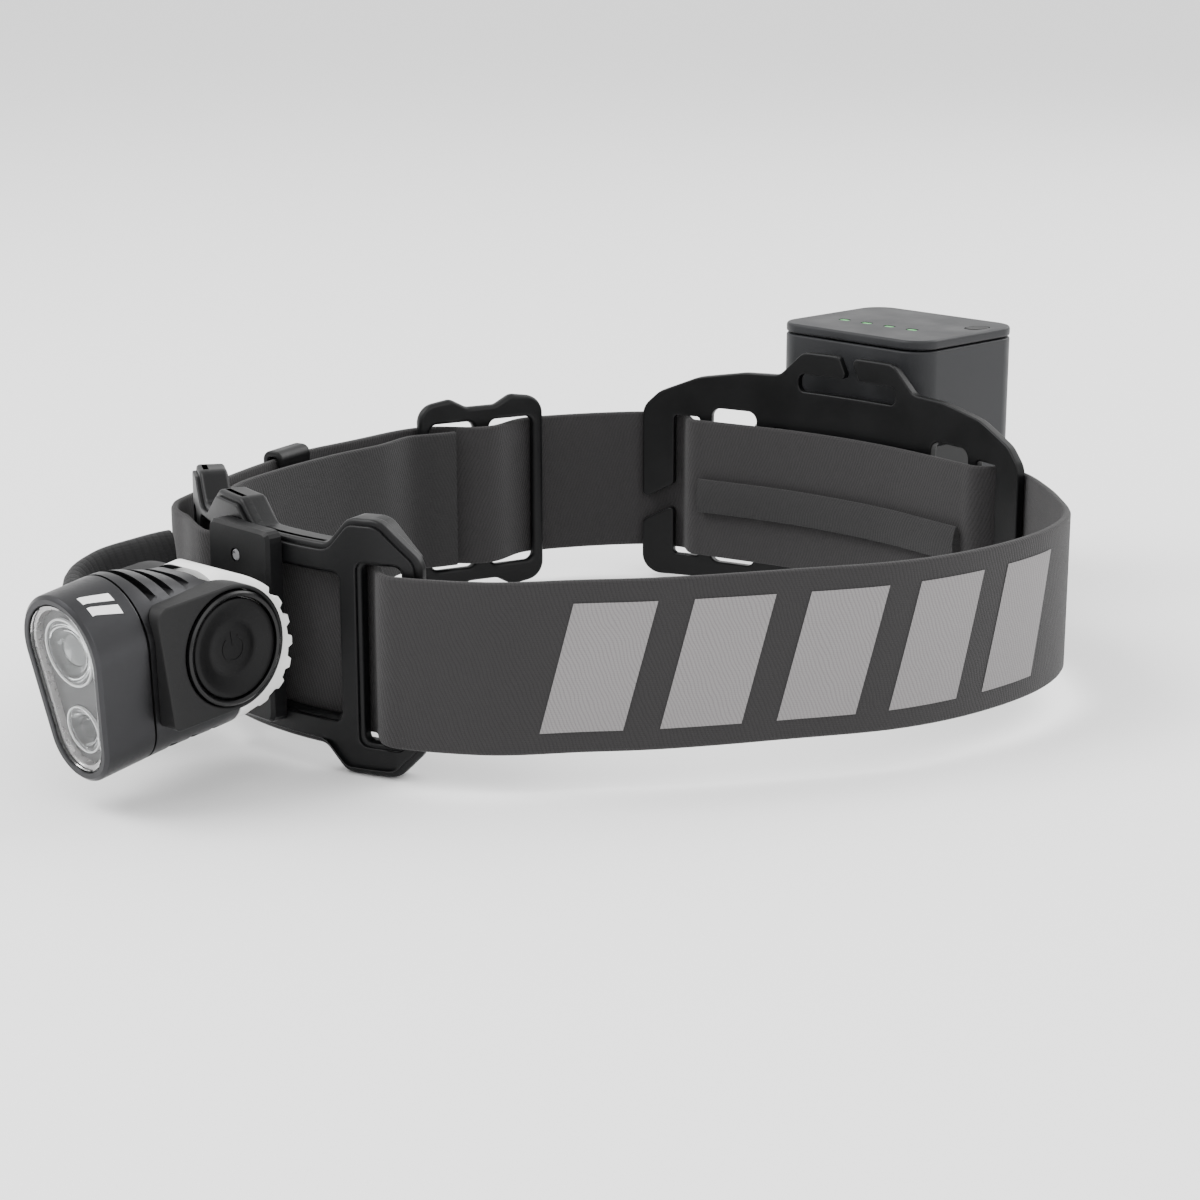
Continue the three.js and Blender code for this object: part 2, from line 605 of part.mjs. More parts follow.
function rearBracket() {
  const half = [[14, 64, 4], [21, 57.4, 4], [31, 57, 12], [44, 54.8, 14], [54.5, 50.3, 6], [58.8, 46, 5],
    [58.8, 1, 5], [36, 1.5, 4], [24, 4.5, 6]];
  const plate = curvedPlate(roundedPolygon(mirrorCorners(half)), REAR_INNER_R, REAR_OUTER_R, 0, 1);
  const hooks = rectangle(-HOOK_SLOT.halfWidth, HOOK_SLOT.bottom, HOOK_SLOT.halfWidth, HOOK_SLOT.top, 1.8);
  const hookGap = polygon([[-3.2, 66], [0.4, 66], [3.4, 57], [-0.6, 57]]);
  const pair = (near, far, low, high, radius) => [rectangle(near, low, far, high, radius),
    rectangle(-far, low, -near, high, radius)];
  const entry = polygon([[-61, 19.9], [-49.5, 26.2], [-49.5, 20.6], [-61, 14]]);
  const strapSlots = pair(43.5, 50.5, 7, 45, 1);
  const windows = pair(27.5, 40.3, 6, 47, 2.5);
  const slits = pair(18.4, 22, 30, 48, 0.4);
  const outlines = [hooks, hookGap, entry, ...strapSlots, ...windows, ...slits];
  const screws = [1, -1].map((side) => rod('y', 1.6, 100, 200, [REAR_SCREW_X * side, 0, REAR_SCREW_Z], 20));
  return placedAtRear(cut(plate, ...outlines.map((outline) => through(outline, 1)), ...screws));
}

addNode(headlamp, 'front_bracket', 'moulded', frontBracket());
addNode(headlamp, 'rear_bracket', 'moulded', rearBracket());

// ---------------------------------------------------------------- headband
const STRAP_OUT_FRONT = FRONT_OUTER_R + 1.7;
const STRAP_IN_FRONT = FRONT_INNER_R - 1.6;
const STRAP_OUT_REAR = REAR_OUTER_R + 1.6;
const STRAP_IN_REAR = REAR_INNER_R - 1.7;

// The adjuster buckle lies flat against the left of the loop.
const BUCKLE = { x: -70.5, y: 27, turn: THREE.MathUtils.degToRad(-16.5), halfLength: 17.5 };

function nearBuckle(along, outward) {
  const forward = [Math.sin(-BUCKLE.turn), Math.cos(BUCKLE.turn)];
  return [BUCKLE.x + along * forward[0] - outward * forward[1],
    BUCKLE.y + along * forward[1] + outward * forward[0]];
}

// The straight stretch of the band that the keeper sits on.
const KEEPER_STRETCH = [[-76.4, -26], [-72.4, -38.5]];

// The band weaves behind the middle of each bracket and over its ends, and round the buckle's bars.
const BAND_LINE = [
  [-55.4, -74], [-51.4, -80.6], [-45, -85.4], frontPoint(-28.5, STRAP_OUT_FRONT + 0.4),
  frontPoint(-21.2, STRAP_OUT_FRONT), frontPoint(-17.1, STRAP_OUT_FRONT - 0.8),
  frontPoint(-12, STRAP_IN_FRONT + 0.6), frontPoint(-8.6, STRAP_IN_FRONT), frontPoint(-4, STRAP_IN_FRONT),
  frontPoint(6, STRAP_IN_FRONT), frontPoint(16.5, STRAP_IN_FRONT), frontPoint(19.6, STRAP_IN_FRONT),
  frontPoint(23.3, STRAP_OUT_FRONT - 1.3), frontPoint(24.9, STRAP_OUT_FRONT - 0.1),
  frontPoint(27, STRAP_OUT_FRONT + 0.1), frontPoint(31, STRAP_OUT_FRONT + 0.2),
  frontPoint(41, STRAP_OUT_FRONT + 0.3),
  [63, -63.5], [71.5, -52.3], [85, -30], [97, -6.5], [101.5, 16], [100.4, 38], [94, 54.5], [83.5, 65.4],
  [73, 73.8], rearPoint(57.6, STRAP_OUT_REAR), rearPoint(52.3, STRAP_OUT_REAR),
  rearPoint(49.2, STRAP_OUT_REAR - 0.4), rearPoint(43.9, STRAP_IN_REAR + 0.3), rearPoint(40.2, STRAP_IN_REAR),
  rearPoint(14, STRAP_IN_REAR), rearPoint(-14, STRAP_IN_REAR), rearPoint(-40.2, STRAP_IN_REAR),
  rearPoint(-43.9, STRAP_IN_REAR + 0.3), rearPoint(-49.2, STRAP_OUT_REAR - 0.4),
  rearPoint(-52.3, STRAP_OUT_REAR), rearPoint(-57.6, STRAP_OUT_REAR),
  [-59.5, 62], nearBuckle(20, 2.9), nearBuckle(13, 2.9), nearBuckle(2.5, -2.9), nearBuckle(-2.5, -2.9),
  nearBuckle(-13, 2.9), nearBuckle(-20, 2.9), [-78, -8], ...KEEPER_STRETCH, [-63.6, -59.5],
];

// The second layer of the adjustment runs back inside the band from the front bracket.
const INNER_LAYER_LINE = [
  frontPoint(-24, STRAP_IN_FRONT), frontPoint(-34, STRAP_IN_FRONT - 0.4), frontPoint(-44, STRAP_IN_FRONT - 1),
  [-58.5, -59], [-64.5, -43], [-69, -22], [-70.5, -6], nearBuckle(-21, -3.1), nearBuckle(-13, -3.2),
  nearBuckle(-8.6, -3.2),
];

function strap(line, samples, thickness, low, high, closed) {
  return prism('z', ribbon(smoothLine(line, samples, closed), thickness, closed), low, high);
}

// The loop's samples run on to their start, so the last one is left out.
function headband() {
  const line = smoothLine(BAND_LINE, 150, true).slice(0, -1);
  return prism('z', ribbon(line, BAND_THICK, true), BAND_BOTTOM, BAND_TOP);
}

// A flat woven channel that carries the lead along the inside of the band.
const CHANNEL_GAP = BAND_THICK / 2 + 2 * GAP + 0.7;
const CHANNEL_LINE = [40.5, 14, -14, -40.5].map((along) => rearPoint(along, STRAP_IN_REAR - CHANNEL_GAP));

function adjusterBuckle() {
  const { halfLength } = BUCKLE;
  const bar = 3;
  const outline = roundedPolygon([[-halfLength, 2, 5], [-halfLength + 9, 0.6, 3], [-4, 3, 3], [4, 3, 3],
    [halfLength - 9, 0.6, 3], [halfLength, 2, 5], [halfLength, 50, 5], [halfLength - 9, 51.4, 3],
    [4, 49, 3], [-4, 49, 3], [-halfLength + 9, 51.4, 3], [-halfLength, 50, 5]]);
  const windows = [1, -1].map((side) => {
    const [near, far] = [2.2 * side, (halfLength - bar) * side];
    return prism('x', rectangle(Math.min(near, far), 6.8, Math.max(near, far), 45.2, 2), -5, 5);
  });
  const flat = cut(prism('x', outline, -1.4, 1.4, 0.5), ...windows);
  return flat.rotate([0, 0, THREE.MathUtils.radToDeg(-BUCKLE.turn) * -1]).translate([BUCKLE.x, BUCKLE.y, 0]);
}

// A closed slider round the outer layer that keeps the two layers together.
const KEEPER_HALF_LENGTH = 6;

function strapKeeper() {
  const wall = 1.6;
  const inside = { half: BAND_THICK / 2 + 0.5, low: BAND_BOTTOM - 0.5, high: BAND_TOP + 0.5 };
  const outer = prism('y', rectangle(-inside.half - wall, inside.low - wall, inside.half + wall,
    inside.high + wall, 1.2), -KEEPER_HALF_LENGTH, KEEPER_HALF_LENGTH);
  const hole = prism('y', rectangle(-inside.half, inside.low, inside.half, inside.high, 0.2), -20, 20);
  const [[startX, startY], [endX, endY]] = KEEPER_STRETCH;
  const turn = THREE.MathUtils.radToDeg(Math.atan2(endX - startX, startY - endY));
  return cut(outer, hole).rotate([0, 0, turn]).translate([(startX + endX) / 2, (startY + endY) / 2, 0]);
}

// The lead leaves the lamp's far side in a flat fabric sleeve and loops back to the band.
const LEAD_LINE = [
  [LAMP_X - 18, -117.5], [LAMP_X - 22, -119.5], [LAMP_X - 28, -124], [LAMP_X - 36, -120],
  [LAMP_X - 39, -112], [LAMP_X - 37, -103.5], [LAMP_X - 36, -95.5],
];

addNode(headlamp, 'headband', 'fabric', headband());
addNode(headlamp, 'band_inner_layer', 'fabric',
  strap(INNER_LAYER_LINE, 48, BAND_THICK, BAND_BOTTOM + 0.5, BAND_TOP - 0.5, false));
addNode(headlamp, 'lead_sleeve', 'fabric', strap(CHANNEL_LINE, 24, 1.4, 20.6, 28.2, false));
addNode(headlamp, 'adjuster_buckle', 'moulded', adjusterBuckle());
addNode(headlamp, 'strap_keeper', 'moulded', strapKeeper());
addNode(headlamp, 'lamp_lead', 'fabric', strap(LEAD_LINE, 36, 3, 25, 40, false));

// ---------------------------------------------------------------- battery and its holder
const HOLDER = { front: 79, wall: 1.8, top: 43 };
const HOLDER_HALF_WIDTH = BATTERY.halfWidth + GAP + HOLDER.wall;
const CONTACT = { halfWidth: 8, front: 104, back: 113, top: 4.6 };

function batteryOutline(grow) {
  return rectangle(-BATTERY.halfWidth - grow, BATTERY.front - grow, BATTERY.halfWidth + grow,
    BATTERY.back + grow, BATTERY.corner + grow);
}

// An open cradle: a floor, a back plate against the rear bracket, two cheeks and a low front lip.
function batteryHolder() {
  const outer = rectangle(-HOLDER_HALF_WIDTH, HOLDER.front, HOLDER_HALF_WIDTH,
    BATTERY.back + GAP + HOLDER.wall, BATTERY.corner + 2);
  const cup = prism('z', outer, 0, HOLDER.top);
  const room = prism('z', batteryOutline(GAP + 0.1), HOLDER.wall, HOLDER.top + 5);
  const lipCut = box([-60, 108, 18], [60, 140, 60]);
  const floorWindow = prism('z', rectangle(-14, 116, 14, 124, 2), -1, 3);
  const contactSeat = prism('z', rectangle(-CONTACT.halfWidth - GAP, CONTACT.front - GAP,
    CONTACT.halfWidth + GAP, CONTACT.back + GAP, 1), 0.9, 3);
  const bracketFace = rod('z', REAR_OUTER_R + GAP, -5, 80, [REAR_CENTRE.x, REAR_CENTRE.y, 0], 240);
  return cut(cup, room, lipCut, floorWindow, contactSeat, bracketFace, ...[1, -1].map(holderScrewHole));
}

// The holder's two screws go in from the bracket's inner face.
function rearScrewPlace(side) {
  return rearPoint(REAR_SCREW_X * side, REAR_INNER_R);
}

function holderScrewHole(side) {
  return rod('y', 1.5, 70, 87, [rearScrewPlace(side)[0], 0, REAR_SCREW_Z], 20);
}

function contactBlock() {
  return prism('z', rectangle(-CONTACT.halfWidth, CONTACT.front, CONTACT.halfWidth, CONTACT.back, 1),
    1.2, CONTACT.top);
}

function holderScrew(side) {
  const [x, y] = rearScrewPlace(side);
  return rod('y', 1.2, y + 0.4, 86.7, [x, 0, REAR_SCREW_Z], 20);
}

const CASE_TOP = BATTERY.top - LID_THICK - GAP;
const CASE_FLOOR = 6.8;

function batteryCase() {
  const shell = prism('z', batteryOutline(0), BATTERY.bottom, CASE_TOP, 0.6);
  const room = prism('z', batteryOutline(-1.6), CASE_FLOOR, CASE_TOP + 5);
  const contactRoom = prism('z', rectangle(-CONTACT.halfWidth - 0.5, CONTACT.front - 0.5,
    CONTACT.halfWidth + 0.5, CONTACT.back + 0.5, 1.2), 0, CONTACT.top + 0.5);
  return cut(shell, room, contactRoom);
}

const LIGHT_Y = 103;
const LIGHT_PITCH = 7.5;
const CHECK = { x: 19, y: 117, halfX: 2.2, halfY: 3.4 };

function batteryLid() {
  const lid = prism('z', batteryOutline(0), BATTERY.top - LID_THICK, BATTERY.top, 0.8);
  const lightHoles = LIGHT_PLACES.map((x) => prism('z', rectangle(x - 1.6, LIGHT_Y - 1.1, x + 1.6,
    LIGHT_Y + 1.1, 0.6), BATTERY.top - 1.4, BATTERY.top + 1));
  const buttonHole = prism('z', rectangle(CHECK.x - CHECK.halfX - GAP, CHECK.y - CHECK.halfY - GAP,
    CHECK.x + CHECK.halfX + GAP, CHECK.y + CHECK.halfY + GAP, 2.4), BATTERY.top - 2, BATTERY.top + 1);
  return cut(lid, buttonHole, ...lightHoles);
}

const LIGHT_PLACES = [-1.5, -0.5, 0.5, 1.5].map((step) => step * LIGHT_PITCH - 2);

function indicatorLight(x) {
  return prism('z', rectangle(x - 1.3, LIGHT_Y - 0.8, x + 1.3, LIGHT_Y + 0.8, 0.5),
    BATTERY.top - 1.1, BATTERY.top - 0.1);
}

function checkButton() {
  return prism('z', rectangle(CHECK.x - CHECK.halfX, CHECK.y - CHECK.halfY, CHECK.x + CHECK.halfX,
    CHECK.y + CHECK.halfY, 2.1), BATTERY.top - 1.2, BATTERY.top + 0.1, 0.3);
}

addNode(headlamp, 'battery_holder', 'moulded', batteryHolder());
addNode(headlamp, 'contact_block', 'gloss', contactBlock());
addNode(headlamp, 'holder_screw_left', 'steel', holderScrew(-1));
addNode(headlamp, 'holder_screw_right', 'steel', holderScrew(1));
addNode(headlamp, 'battery_case', 'grey', batteryCase());
addNode(headlamp, 'battery_lid', 'grey', batteryLid());
addNode(headlamp, 'check_button', 'rubber', checkButton());
LIGHT_PLACES.forEach((x, i) => addNode(headlamp, `indicator_light_${i + 1}`, 'green', indicatorLight(x)));

const CELL_MIDDLE_Y = (BATTERY.front + BATTERY.back) / 2;
[[-1, -1], [1, -1], [-1, 1], [1, 1]].forEach(([across, along], i) => {
  const place = [across * (CELL.r + 0.3), CELL_MIDDLE_Y + along * (CELL.r + 0.2), 0];
  const bottom = CASE_FLOOR + GAP;
  const cell = rod('z', CELL.r, bottom, bottom + CELL.length, place, 28);
  addNode(headlamp, `battery_cell_${i + 1}`, 'cell', cell);
});
addNode(headlamp, 'battery_board', 'board',
  box([-18, BATTERY.front + 5, 60], [18, BATTERY.back - 5, 61.4]));

// The origin goes to the middle of the bounding box's bottom.
const bounds = new THREE.Box3().setFromObject(headlamp, true);
const middle = bounds.getCenter(new THREE.Vector3());
headlamp.position.set(-middle.x, -middle.y, -bounds.min.z);

export default headlamp;
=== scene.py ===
"""A headlamp's looks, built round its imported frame: fine shapes, fabric and materials.

Shapes are drawn in millimetres, in the lamp's own coordinates (tilt axis along X, forward is -Y)
or in the headband's (the middle of the head is near the origin, +Z up), and then placed in metres.
"""
import json
import math

import bmesh
import bpy
from mathutils import Matrix, Vector


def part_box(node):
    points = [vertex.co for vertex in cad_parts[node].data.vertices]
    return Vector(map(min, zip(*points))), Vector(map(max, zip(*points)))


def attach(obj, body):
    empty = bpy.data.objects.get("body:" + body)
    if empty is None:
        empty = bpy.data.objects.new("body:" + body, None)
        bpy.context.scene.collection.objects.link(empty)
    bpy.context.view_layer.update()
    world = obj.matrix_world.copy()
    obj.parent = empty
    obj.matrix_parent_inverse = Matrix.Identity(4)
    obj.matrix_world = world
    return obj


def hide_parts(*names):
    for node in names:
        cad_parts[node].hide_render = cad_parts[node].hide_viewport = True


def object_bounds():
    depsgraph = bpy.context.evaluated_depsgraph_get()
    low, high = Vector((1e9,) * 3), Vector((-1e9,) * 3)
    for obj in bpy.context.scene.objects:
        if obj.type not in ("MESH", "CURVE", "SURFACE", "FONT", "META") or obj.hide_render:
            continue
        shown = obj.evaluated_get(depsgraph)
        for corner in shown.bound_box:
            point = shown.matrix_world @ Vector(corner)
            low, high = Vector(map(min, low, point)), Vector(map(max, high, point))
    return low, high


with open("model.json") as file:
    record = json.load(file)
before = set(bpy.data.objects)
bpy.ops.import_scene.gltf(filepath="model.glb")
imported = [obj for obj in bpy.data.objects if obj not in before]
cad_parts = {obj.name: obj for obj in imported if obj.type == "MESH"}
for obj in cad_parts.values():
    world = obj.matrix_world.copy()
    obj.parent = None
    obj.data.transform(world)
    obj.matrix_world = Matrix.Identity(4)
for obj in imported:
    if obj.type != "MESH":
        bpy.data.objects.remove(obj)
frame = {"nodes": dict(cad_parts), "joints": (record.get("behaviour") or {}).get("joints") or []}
CAD_LOW, CAD_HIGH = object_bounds()

MM = 0.001
TILT_JOINT = next(joint for joint in frame["joints"] if joint["name"] == "lamp_tilt")
AXIS = Vector(TILT_JOINT["pos_m"])
AXIS_IN_LOOP = Vector((3, -116.4, 28.4))      # the tilt axis in the headband's coordinates
REST_TILT = math.radians(9)                   # the lamp looks this far down at rest
LAMP_YAW = math.radians(3.5)                  # and this far towards the button's side
HEAD_AT = Vector((0, -0.8, 2.3))              # the front parts' own origin, from the tilt axis
LOOP = Matrix.Translation(AXIS) @ Matrix.Scale(MM, 4) @ Matrix.Translation(-AXIS_IN_LOOP)
LAMP = (Matrix.Translation(AXIS) @ Matrix.Rotation(LAMP_YAW, 4, "Z")
        @ Matrix.Rotation(REST_TILT, 4, "X") @ Matrix.Scale(MM, 4))
HEAD = LAMP @ Matrix.Translation(HEAD_AT)


def in_loop(node):
    """A CAD node's lowest and highest corner in the headband's coordinates."""
    return [LOOP.inverted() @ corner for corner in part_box(node)]


# ---------------- mesh tools
def tidied(mesh, merge=1e-4):
    work = bmesh.new()
    work.from_mesh(mesh)
    bmesh.ops.remove_doubles(work, verts=work.verts, dist=merge)
    bmesh.ops.recalc_face_normals(work, faces=work.faces)
    work.to_mesh(mesh)
    work.free()
    return mesh


def mesh_from(points, faces):
    mesh = bpy.data.meshes.new("shape")
    mesh.from_pydata([tuple(point) for point in points], [], faces)
    return tidied(mesh)


def ring_faces(rings, ends):
    """Faces through equal rings. ends is caps, or loop where the last ring meets the first."""
    count = len(rings[0])
    faces = []
    for k in range(len(rings) if ends == "loop" else len(rings) - 1):
        here = k * count
        there = (k + 1) % len(rings) * count
        for i in range(count):
            j = (i + 1) % count
            faces.append((here + i, here + j, there + j, there + i))
    if ends == "caps":
        last = (len(rings) - 1) * count
        faces.append(tuple(reversed(range(count))))
        faces.append(tuple(last + i for i in range(count)))
    return faces


def skinned(rings, ends="caps"):
    """A closed surface through rings of points, joined up as ring_faces says."""
    return mesh_from([point for ring in rings for point in ring], ring_faces(rings, ends))


def sheet_faces(levels, width, base=0):
    """Faces between equal rows of points, counted from base."""
    return [(base + r * width + c, base + r * width + c + 1, base + (r + 1) * width + c + 1,
             base + (r + 1) * width + c) for r in range(levels - 1) for c in range(width - 1)]


def sheet_mesh(rows):
    """A surface with edges through equal rows of points."""
    return mesh_from([point for row in rows for point in row], sheet_faces(len(rows), len(rows[0])))


def cloth_mesh(name, points, faces, cloth):
    """A mesh that stores each point's place on its strap: (length, height, side)."""
    mesh = bpy.data.meshes.new(name)
    mesh.from_pydata([tuple(point) for point in points], [], faces)
    store = mesh.attributes.new("cloth", "FLOAT_VECTOR", "POINT")
    store.data.foreach_set("vector", [value for triple in cloth for value in triple])
    return mesh


def turned(axis, profile, centre=(0, 0, 0), sides=72):
    """A solid turned about X or Y through a point, from (radius, distance along the axis) pairs."""
    rings = []
    for radius, along in profile:
        ring = []
        for k in range(sides):
            angle = 2 * math.pi * k / sides
            across, up = radius * math.cos(angle), radius * math.sin(angle)
            local = (along, across, up) if axis == "x" else (across, along, up)
            ring.append(Vector(local) + Vector(centre))
        rings.append(ring)
    return skinned(rings, "loop")


def linked(name, data):
    made = bpy.data.objects.new(name, data)
    bpy.context.scene.collection.objects.link(made)
    return made


def temporary(mesh):
    return linked("holder", mesh)


def evaluated(holder):
    depsgraph = bpy.context.evaluated_depsgraph_get()
    return bpy.data.meshes.new_from_object(holder.evaluated_get(depsgraph))


def carved(mesh, cutters, operation="DIFFERENCE"):
    """The mesh with each cutter taken away, or joined on, or kept in common."""
    holder = temporary(mesh)
    tools = [temporary(cutter) for cutter in cutters]
    for tool in tools:
        modifier = holder.modifiers.new("carve", "BOOLEAN")
        modifier.operation = operation
        modifier.solver = "EXACT"
        modifier.object = tool
    result = evaluated(holder)
    for spare in [holder, *tools]:
        bpy.data.objects.remove(spare)
    return result


def bevelled(mesh, width, segments=3, angle=35):
    holder = temporary(mesh)
    modifier = holder.modifiers.new("bevel", "BEVEL")
    modifier.width = width
    modifier.segments = segments
    modifier.limit_method = "ANGLE"
    modifier.angle_limit = math.radians(angle)
    modifier.use_clamp_overlap = True
    result = evaluated(holder)
    bpy.data.objects.remove(holder)
    return result


def joined(*meshes):
    work = bmesh.new()
    for mesh in meshes:
        work.from_mesh(mesh)
    result = bpy.data.meshes.new("shape")
    work.to_mesh(result)
    work.free()
    return result


def moved(mesh, matrix):
    mesh.transform(matrix)
    return mesh


def piece(name, mesh, place, materials, body, nodes=(), smooth=35):
    """Places a finished mesh in metres, with its materials, as a piece that rides on a body."""
    mesh.transform(place)
    tidied(mesh, 1e-7)
    mesh.shade_smooth()
    mesh.set_sharp_from_angle(angle=math.radians(smooth))
    mesh.materials.clear()
    for material in materials if isinstance(materials, (list, tuple)) else [materials]:
        mesh.materials.append(material)
    shown = linked(name, mesh)
    weigh = shown.modifiers.new("normals", "WEIGHTED_NORMAL")
    weigh.keep_sharp = True
    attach(shown, body)
    if nodes:
        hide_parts(*nodes)


# ---------------- outlines
def arc(a, b, radius, start, end, step=8):
    steps = max(2, math.ceil(abs(end - start) / step))
    angles = [math.radians(start + (end - start) * k / steps) for k in range(steps + 1)]
    return [Vector((a + radius * math.cos(t), b + radius * math.sin(t))) for t in angles]


def rounded(corners, step=9):
    """A polygon with each corner rounded to its own radius: (a, b, radius)."""
    points = []
    for i, (a, b, radius) in enumerate(corners):
        here = Vector((a, b))
        back = Vector(corners[i - 1][:2]) - here
        ahead = Vector(corners[(i + 1) % len(corners)][:2]) - here
        half = back.angle(ahead) / 2
        reach = min(radius / math.tan(half), 0.49 * min(back.length, ahead.length))
        radius = reach * math.tan(half)
        bisector = (back.normalized() + ahead.normalized()).normalized()
        centre = here + bisector * (radius / math.sin(half))
        start = here + back.normalized() * reach - centre
        end = here + ahead.normalized() * reach - centre
        first = math.degrees(math.atan2(start.y, start.x))
        sweep = math.degrees(math.atan2(end.y, end.x)) - first
        sweep = (sweep + 180) % 360 - 180
        points += arc(*centre, radius, first, first + sweep, step)
    return points


def rectangle(left, bottom, right, top, radius):
    left, right = min(left, right), max(left, right)
    return rounded([(left, bottom, radius), (right, bottom, radius), (right, top, radius),
                    (left, top, radius)])


def counterclockwise(line, wanted=True):
    area = sum(p.x * q.y - q.x * p.y for p, q in zip(line, line[1:] + line[:1]))
    return line if (area > 0) == wanted else line[::-1]


def plate(outline, holes, low, high, bevel=0.0):
    """A flat plate in the XY plane from Z low to high, its edges rounded inside its outline."""
    curve = bpy.data.curves.new("outline", "CURVE")
    curve.dimensions = "2D"
    curve.fill_mode = "BOTH"
    curve.extrude = (high - low) / 2 - bevel
    curve.bevel_depth = bevel
    curve.bevel_resolution = 2
    curve.offset = -bevel
    lines = [counterclockwise(outline), *[counterclockwise(hole, False) for hole in holes]]
    for line in lines:
        spline = curve.splines.new("POLY")
        spline.points.add(len(line) - 1)
        for point, (a, b) in zip(spline.points, line):
            point.co = (a, b, 0, 1)
        spline.use_cyclic_u = True
    holder = temporary(curve)
    mesh = evaluated(holder)
    bpy.data.objects.remove(holder)
    mesh.transform(Matrix.Translation((0, 0, (low + high) / 2)))
    return tidied(mesh)


# Plates stood up in other planes: their X, Y and Z go along these axes.
ALONG_X = Matrix(((0, 0, 1, 0), (1, 0, 0, 0), (0, 1, 0, 0), (0, 0, 0, 1)))      # (y, z) outline
ALONG_Y = Matrix(((1, 0, 0, 0), (0, 0, 1, 0), (0, 1, 0, 0), (0, 0, 0, 1)))      # (x, z) outline


def prism(axis, outline, low, high, holes=(), bevel=0.0):
    turn = {"x": ALONG_X, "y": ALONG_Y, "z": Matrix.Identity(4)}[axis]
    return tidied(moved(plate(outline, holes, low, high, bevel), turn))


def block(low, high):
    outline = [Vector((low[0], low[1])), Vector((high[0], low[1])), Vector((high[0], high[1])),
               Vector((low[0], high[1]))]
    return prism("z", outline, low[2], high[2])


def circle(a, b, radius, step=5):
    return arc(a, b, radius, 0, 360, step)[:-1]


def distances(points):
    """How far along a line each of its points lies."""
    lengths = [0.0]
    for before, after in zip(points, points[1:]):
        lengths.append(lengths[-1] + (after - before).length)
    return lengths


def resampled(points, steps, count):
    """The first count of the points that part a line into equal steps."""
    lengths = distances(points)
    result = []
    k = 0
    for i in range(count):
        target = lengths[-1] * i / steps
        while k < len(points) - 2 and lengths[k + 1] < target:
            k += 1
        share = (target - lengths[k]) / max(lengths[k + 1] - lengths[k], 1e-9)
        result.append(points[k].lerp(points[k + 1], share))
    return result


def evenly(line, count):
    """A closed line's points, resampled at equal steps from its first point."""
    return resampled(line + line[:1], count, count)


def eased(share):
    """Goes from 0 to 1 with a soft start and a soft end."""
    return share * share * (3 - 2 * share)


# ---------------- materials
def principled(name, colour, roughness, **inputs):
    material = bpy.data.materials.new(name)
    material.use_nodes = True
    shader = material.node_tree.nodes["Principled BSDF"]
    shader.inputs["Base Color"].default_value = (*colour, 1)
    shader.inputs["Roughness"].default_value = roughness
    for key, value in inputs.items():
        shader.inputs[key.replace("_", " ")].default_value = value
    return material, shader


def node(material, kind, **values):
    made = material.node_tree.nodes.new(kind)
    for key, value in values.items():
        if hasattr(made, key):
            setattr(made, key, value)
        else:
            made.inputs[key.replace("_", " ")].default_value = value
    return made


def wire(material, source, target):
    material.node_tree.links.new(source, target)


def noise_field(material, scale, detail=3.0, roughness=0.5):
    place = node(material, "ShaderNodeTexCoord")
    field = node(material, "ShaderNodeTexNoise", Scale=scale, Detail=detail, Roughness=roughness)
    wire(material, place.outputs["Object"], field.inputs["Vector"])
    return field.outputs["Fac"]


def ranged(material, value, low, high, from_low=0.3, from_high=0.7):
    spread = node(material, "ShaderNodeMapRange")
    spread.inputs["From Min"].default_value = from_low
    spread.inputs["From Max"].default_value = from_high
    spread.inputs["To Min"].default_value = low
    spread.inputs["To Max"].default_value = high
    wire(material, value, spread.inputs["Value"])
    return spread.outputs["Result"]


def tinted(material, shader, factor, dark, light):
    mix = node(material, "ShaderNodeMix", data_type="RGBA")
    mix.inputs["A"].default_value = (*dark, 1)
    mix.inputs["B"].default_value = (*light, 1)
    wire(material, factor, mix.inputs["Factor"])
    wire(material, mix.outputs["Result"], shader.inputs["Base Color"])


def bumped(material, shader, height, distance, strength=1.0):
    bump = node(material, "ShaderNodeBump", Strength=strength, Distance=distance)
    wire(material, height, bump.inputs["Height"])
    wire(material, bump.outputs["Normal"], shader.inputs["Normal"])


def shades(colour, spread):
    return [channel * (1 - spread) for channel in colour], [channel * (1 + spread) for channel in colour]


def moulded_plastic(name, colour, roughness, grain=2600.0, depth=0.00002, **inputs):
    """Moulded plastic: a fine spark-eroded grain and slow changes of tone and gloss."""
    material, shader = principled(name, colour, roughness, **inputs)
    slow = noise_field(material, 90.0)
    tinted(material, shader, ranged(material, slow, 0, 1), *shades(colour, 0.12))
    wire(material, ranged(material, slow, roughness - 0.05, roughness + 0.06), shader.inputs["Roughness"])
    bumped(material, shader, noise_field(material, grain, 2.0), depth)
    return material


def anodised(name, colour):
    """Bead-blasted, anodised aluminium."""
    material, shader = principled(name, colour, 0.36, Metallic=0.9)
    slow = noise_field(material, 60.0)
    tinted(material, shader, ranged(material, slow, 0, 1), *shades(colour, 0.08))
    wire(material, ranged(material, noise_field(material, 1200.0), 0.32, 0.42), shader.inputs["Roughness"])
    bumped(material, shader, noise_field(material, 4200.0, 2.0), 0.00001)
    return material


def clear(name, colour, ior=1.49):
    material, shader = principled(name, colour, 0.02, IOR=ior, Transmission_Weight=1.0)
    wire(material, ranged(material, noise_field(material, 300.0), 0.0, 0.04), shader.inputs["Roughness"])
    return material


def bright_metal(name, colour, roughness):
    material, shader = principled(name, colour, roughness, Metallic=1.0)
    field = noise_field(material, 800.0)
    wire(material, ranged(material, field, roughness * 0.7, roughness * 1.4), shader.inputs["Roughness"])
    bumped(material, shader, field, 0.000004)
    return material


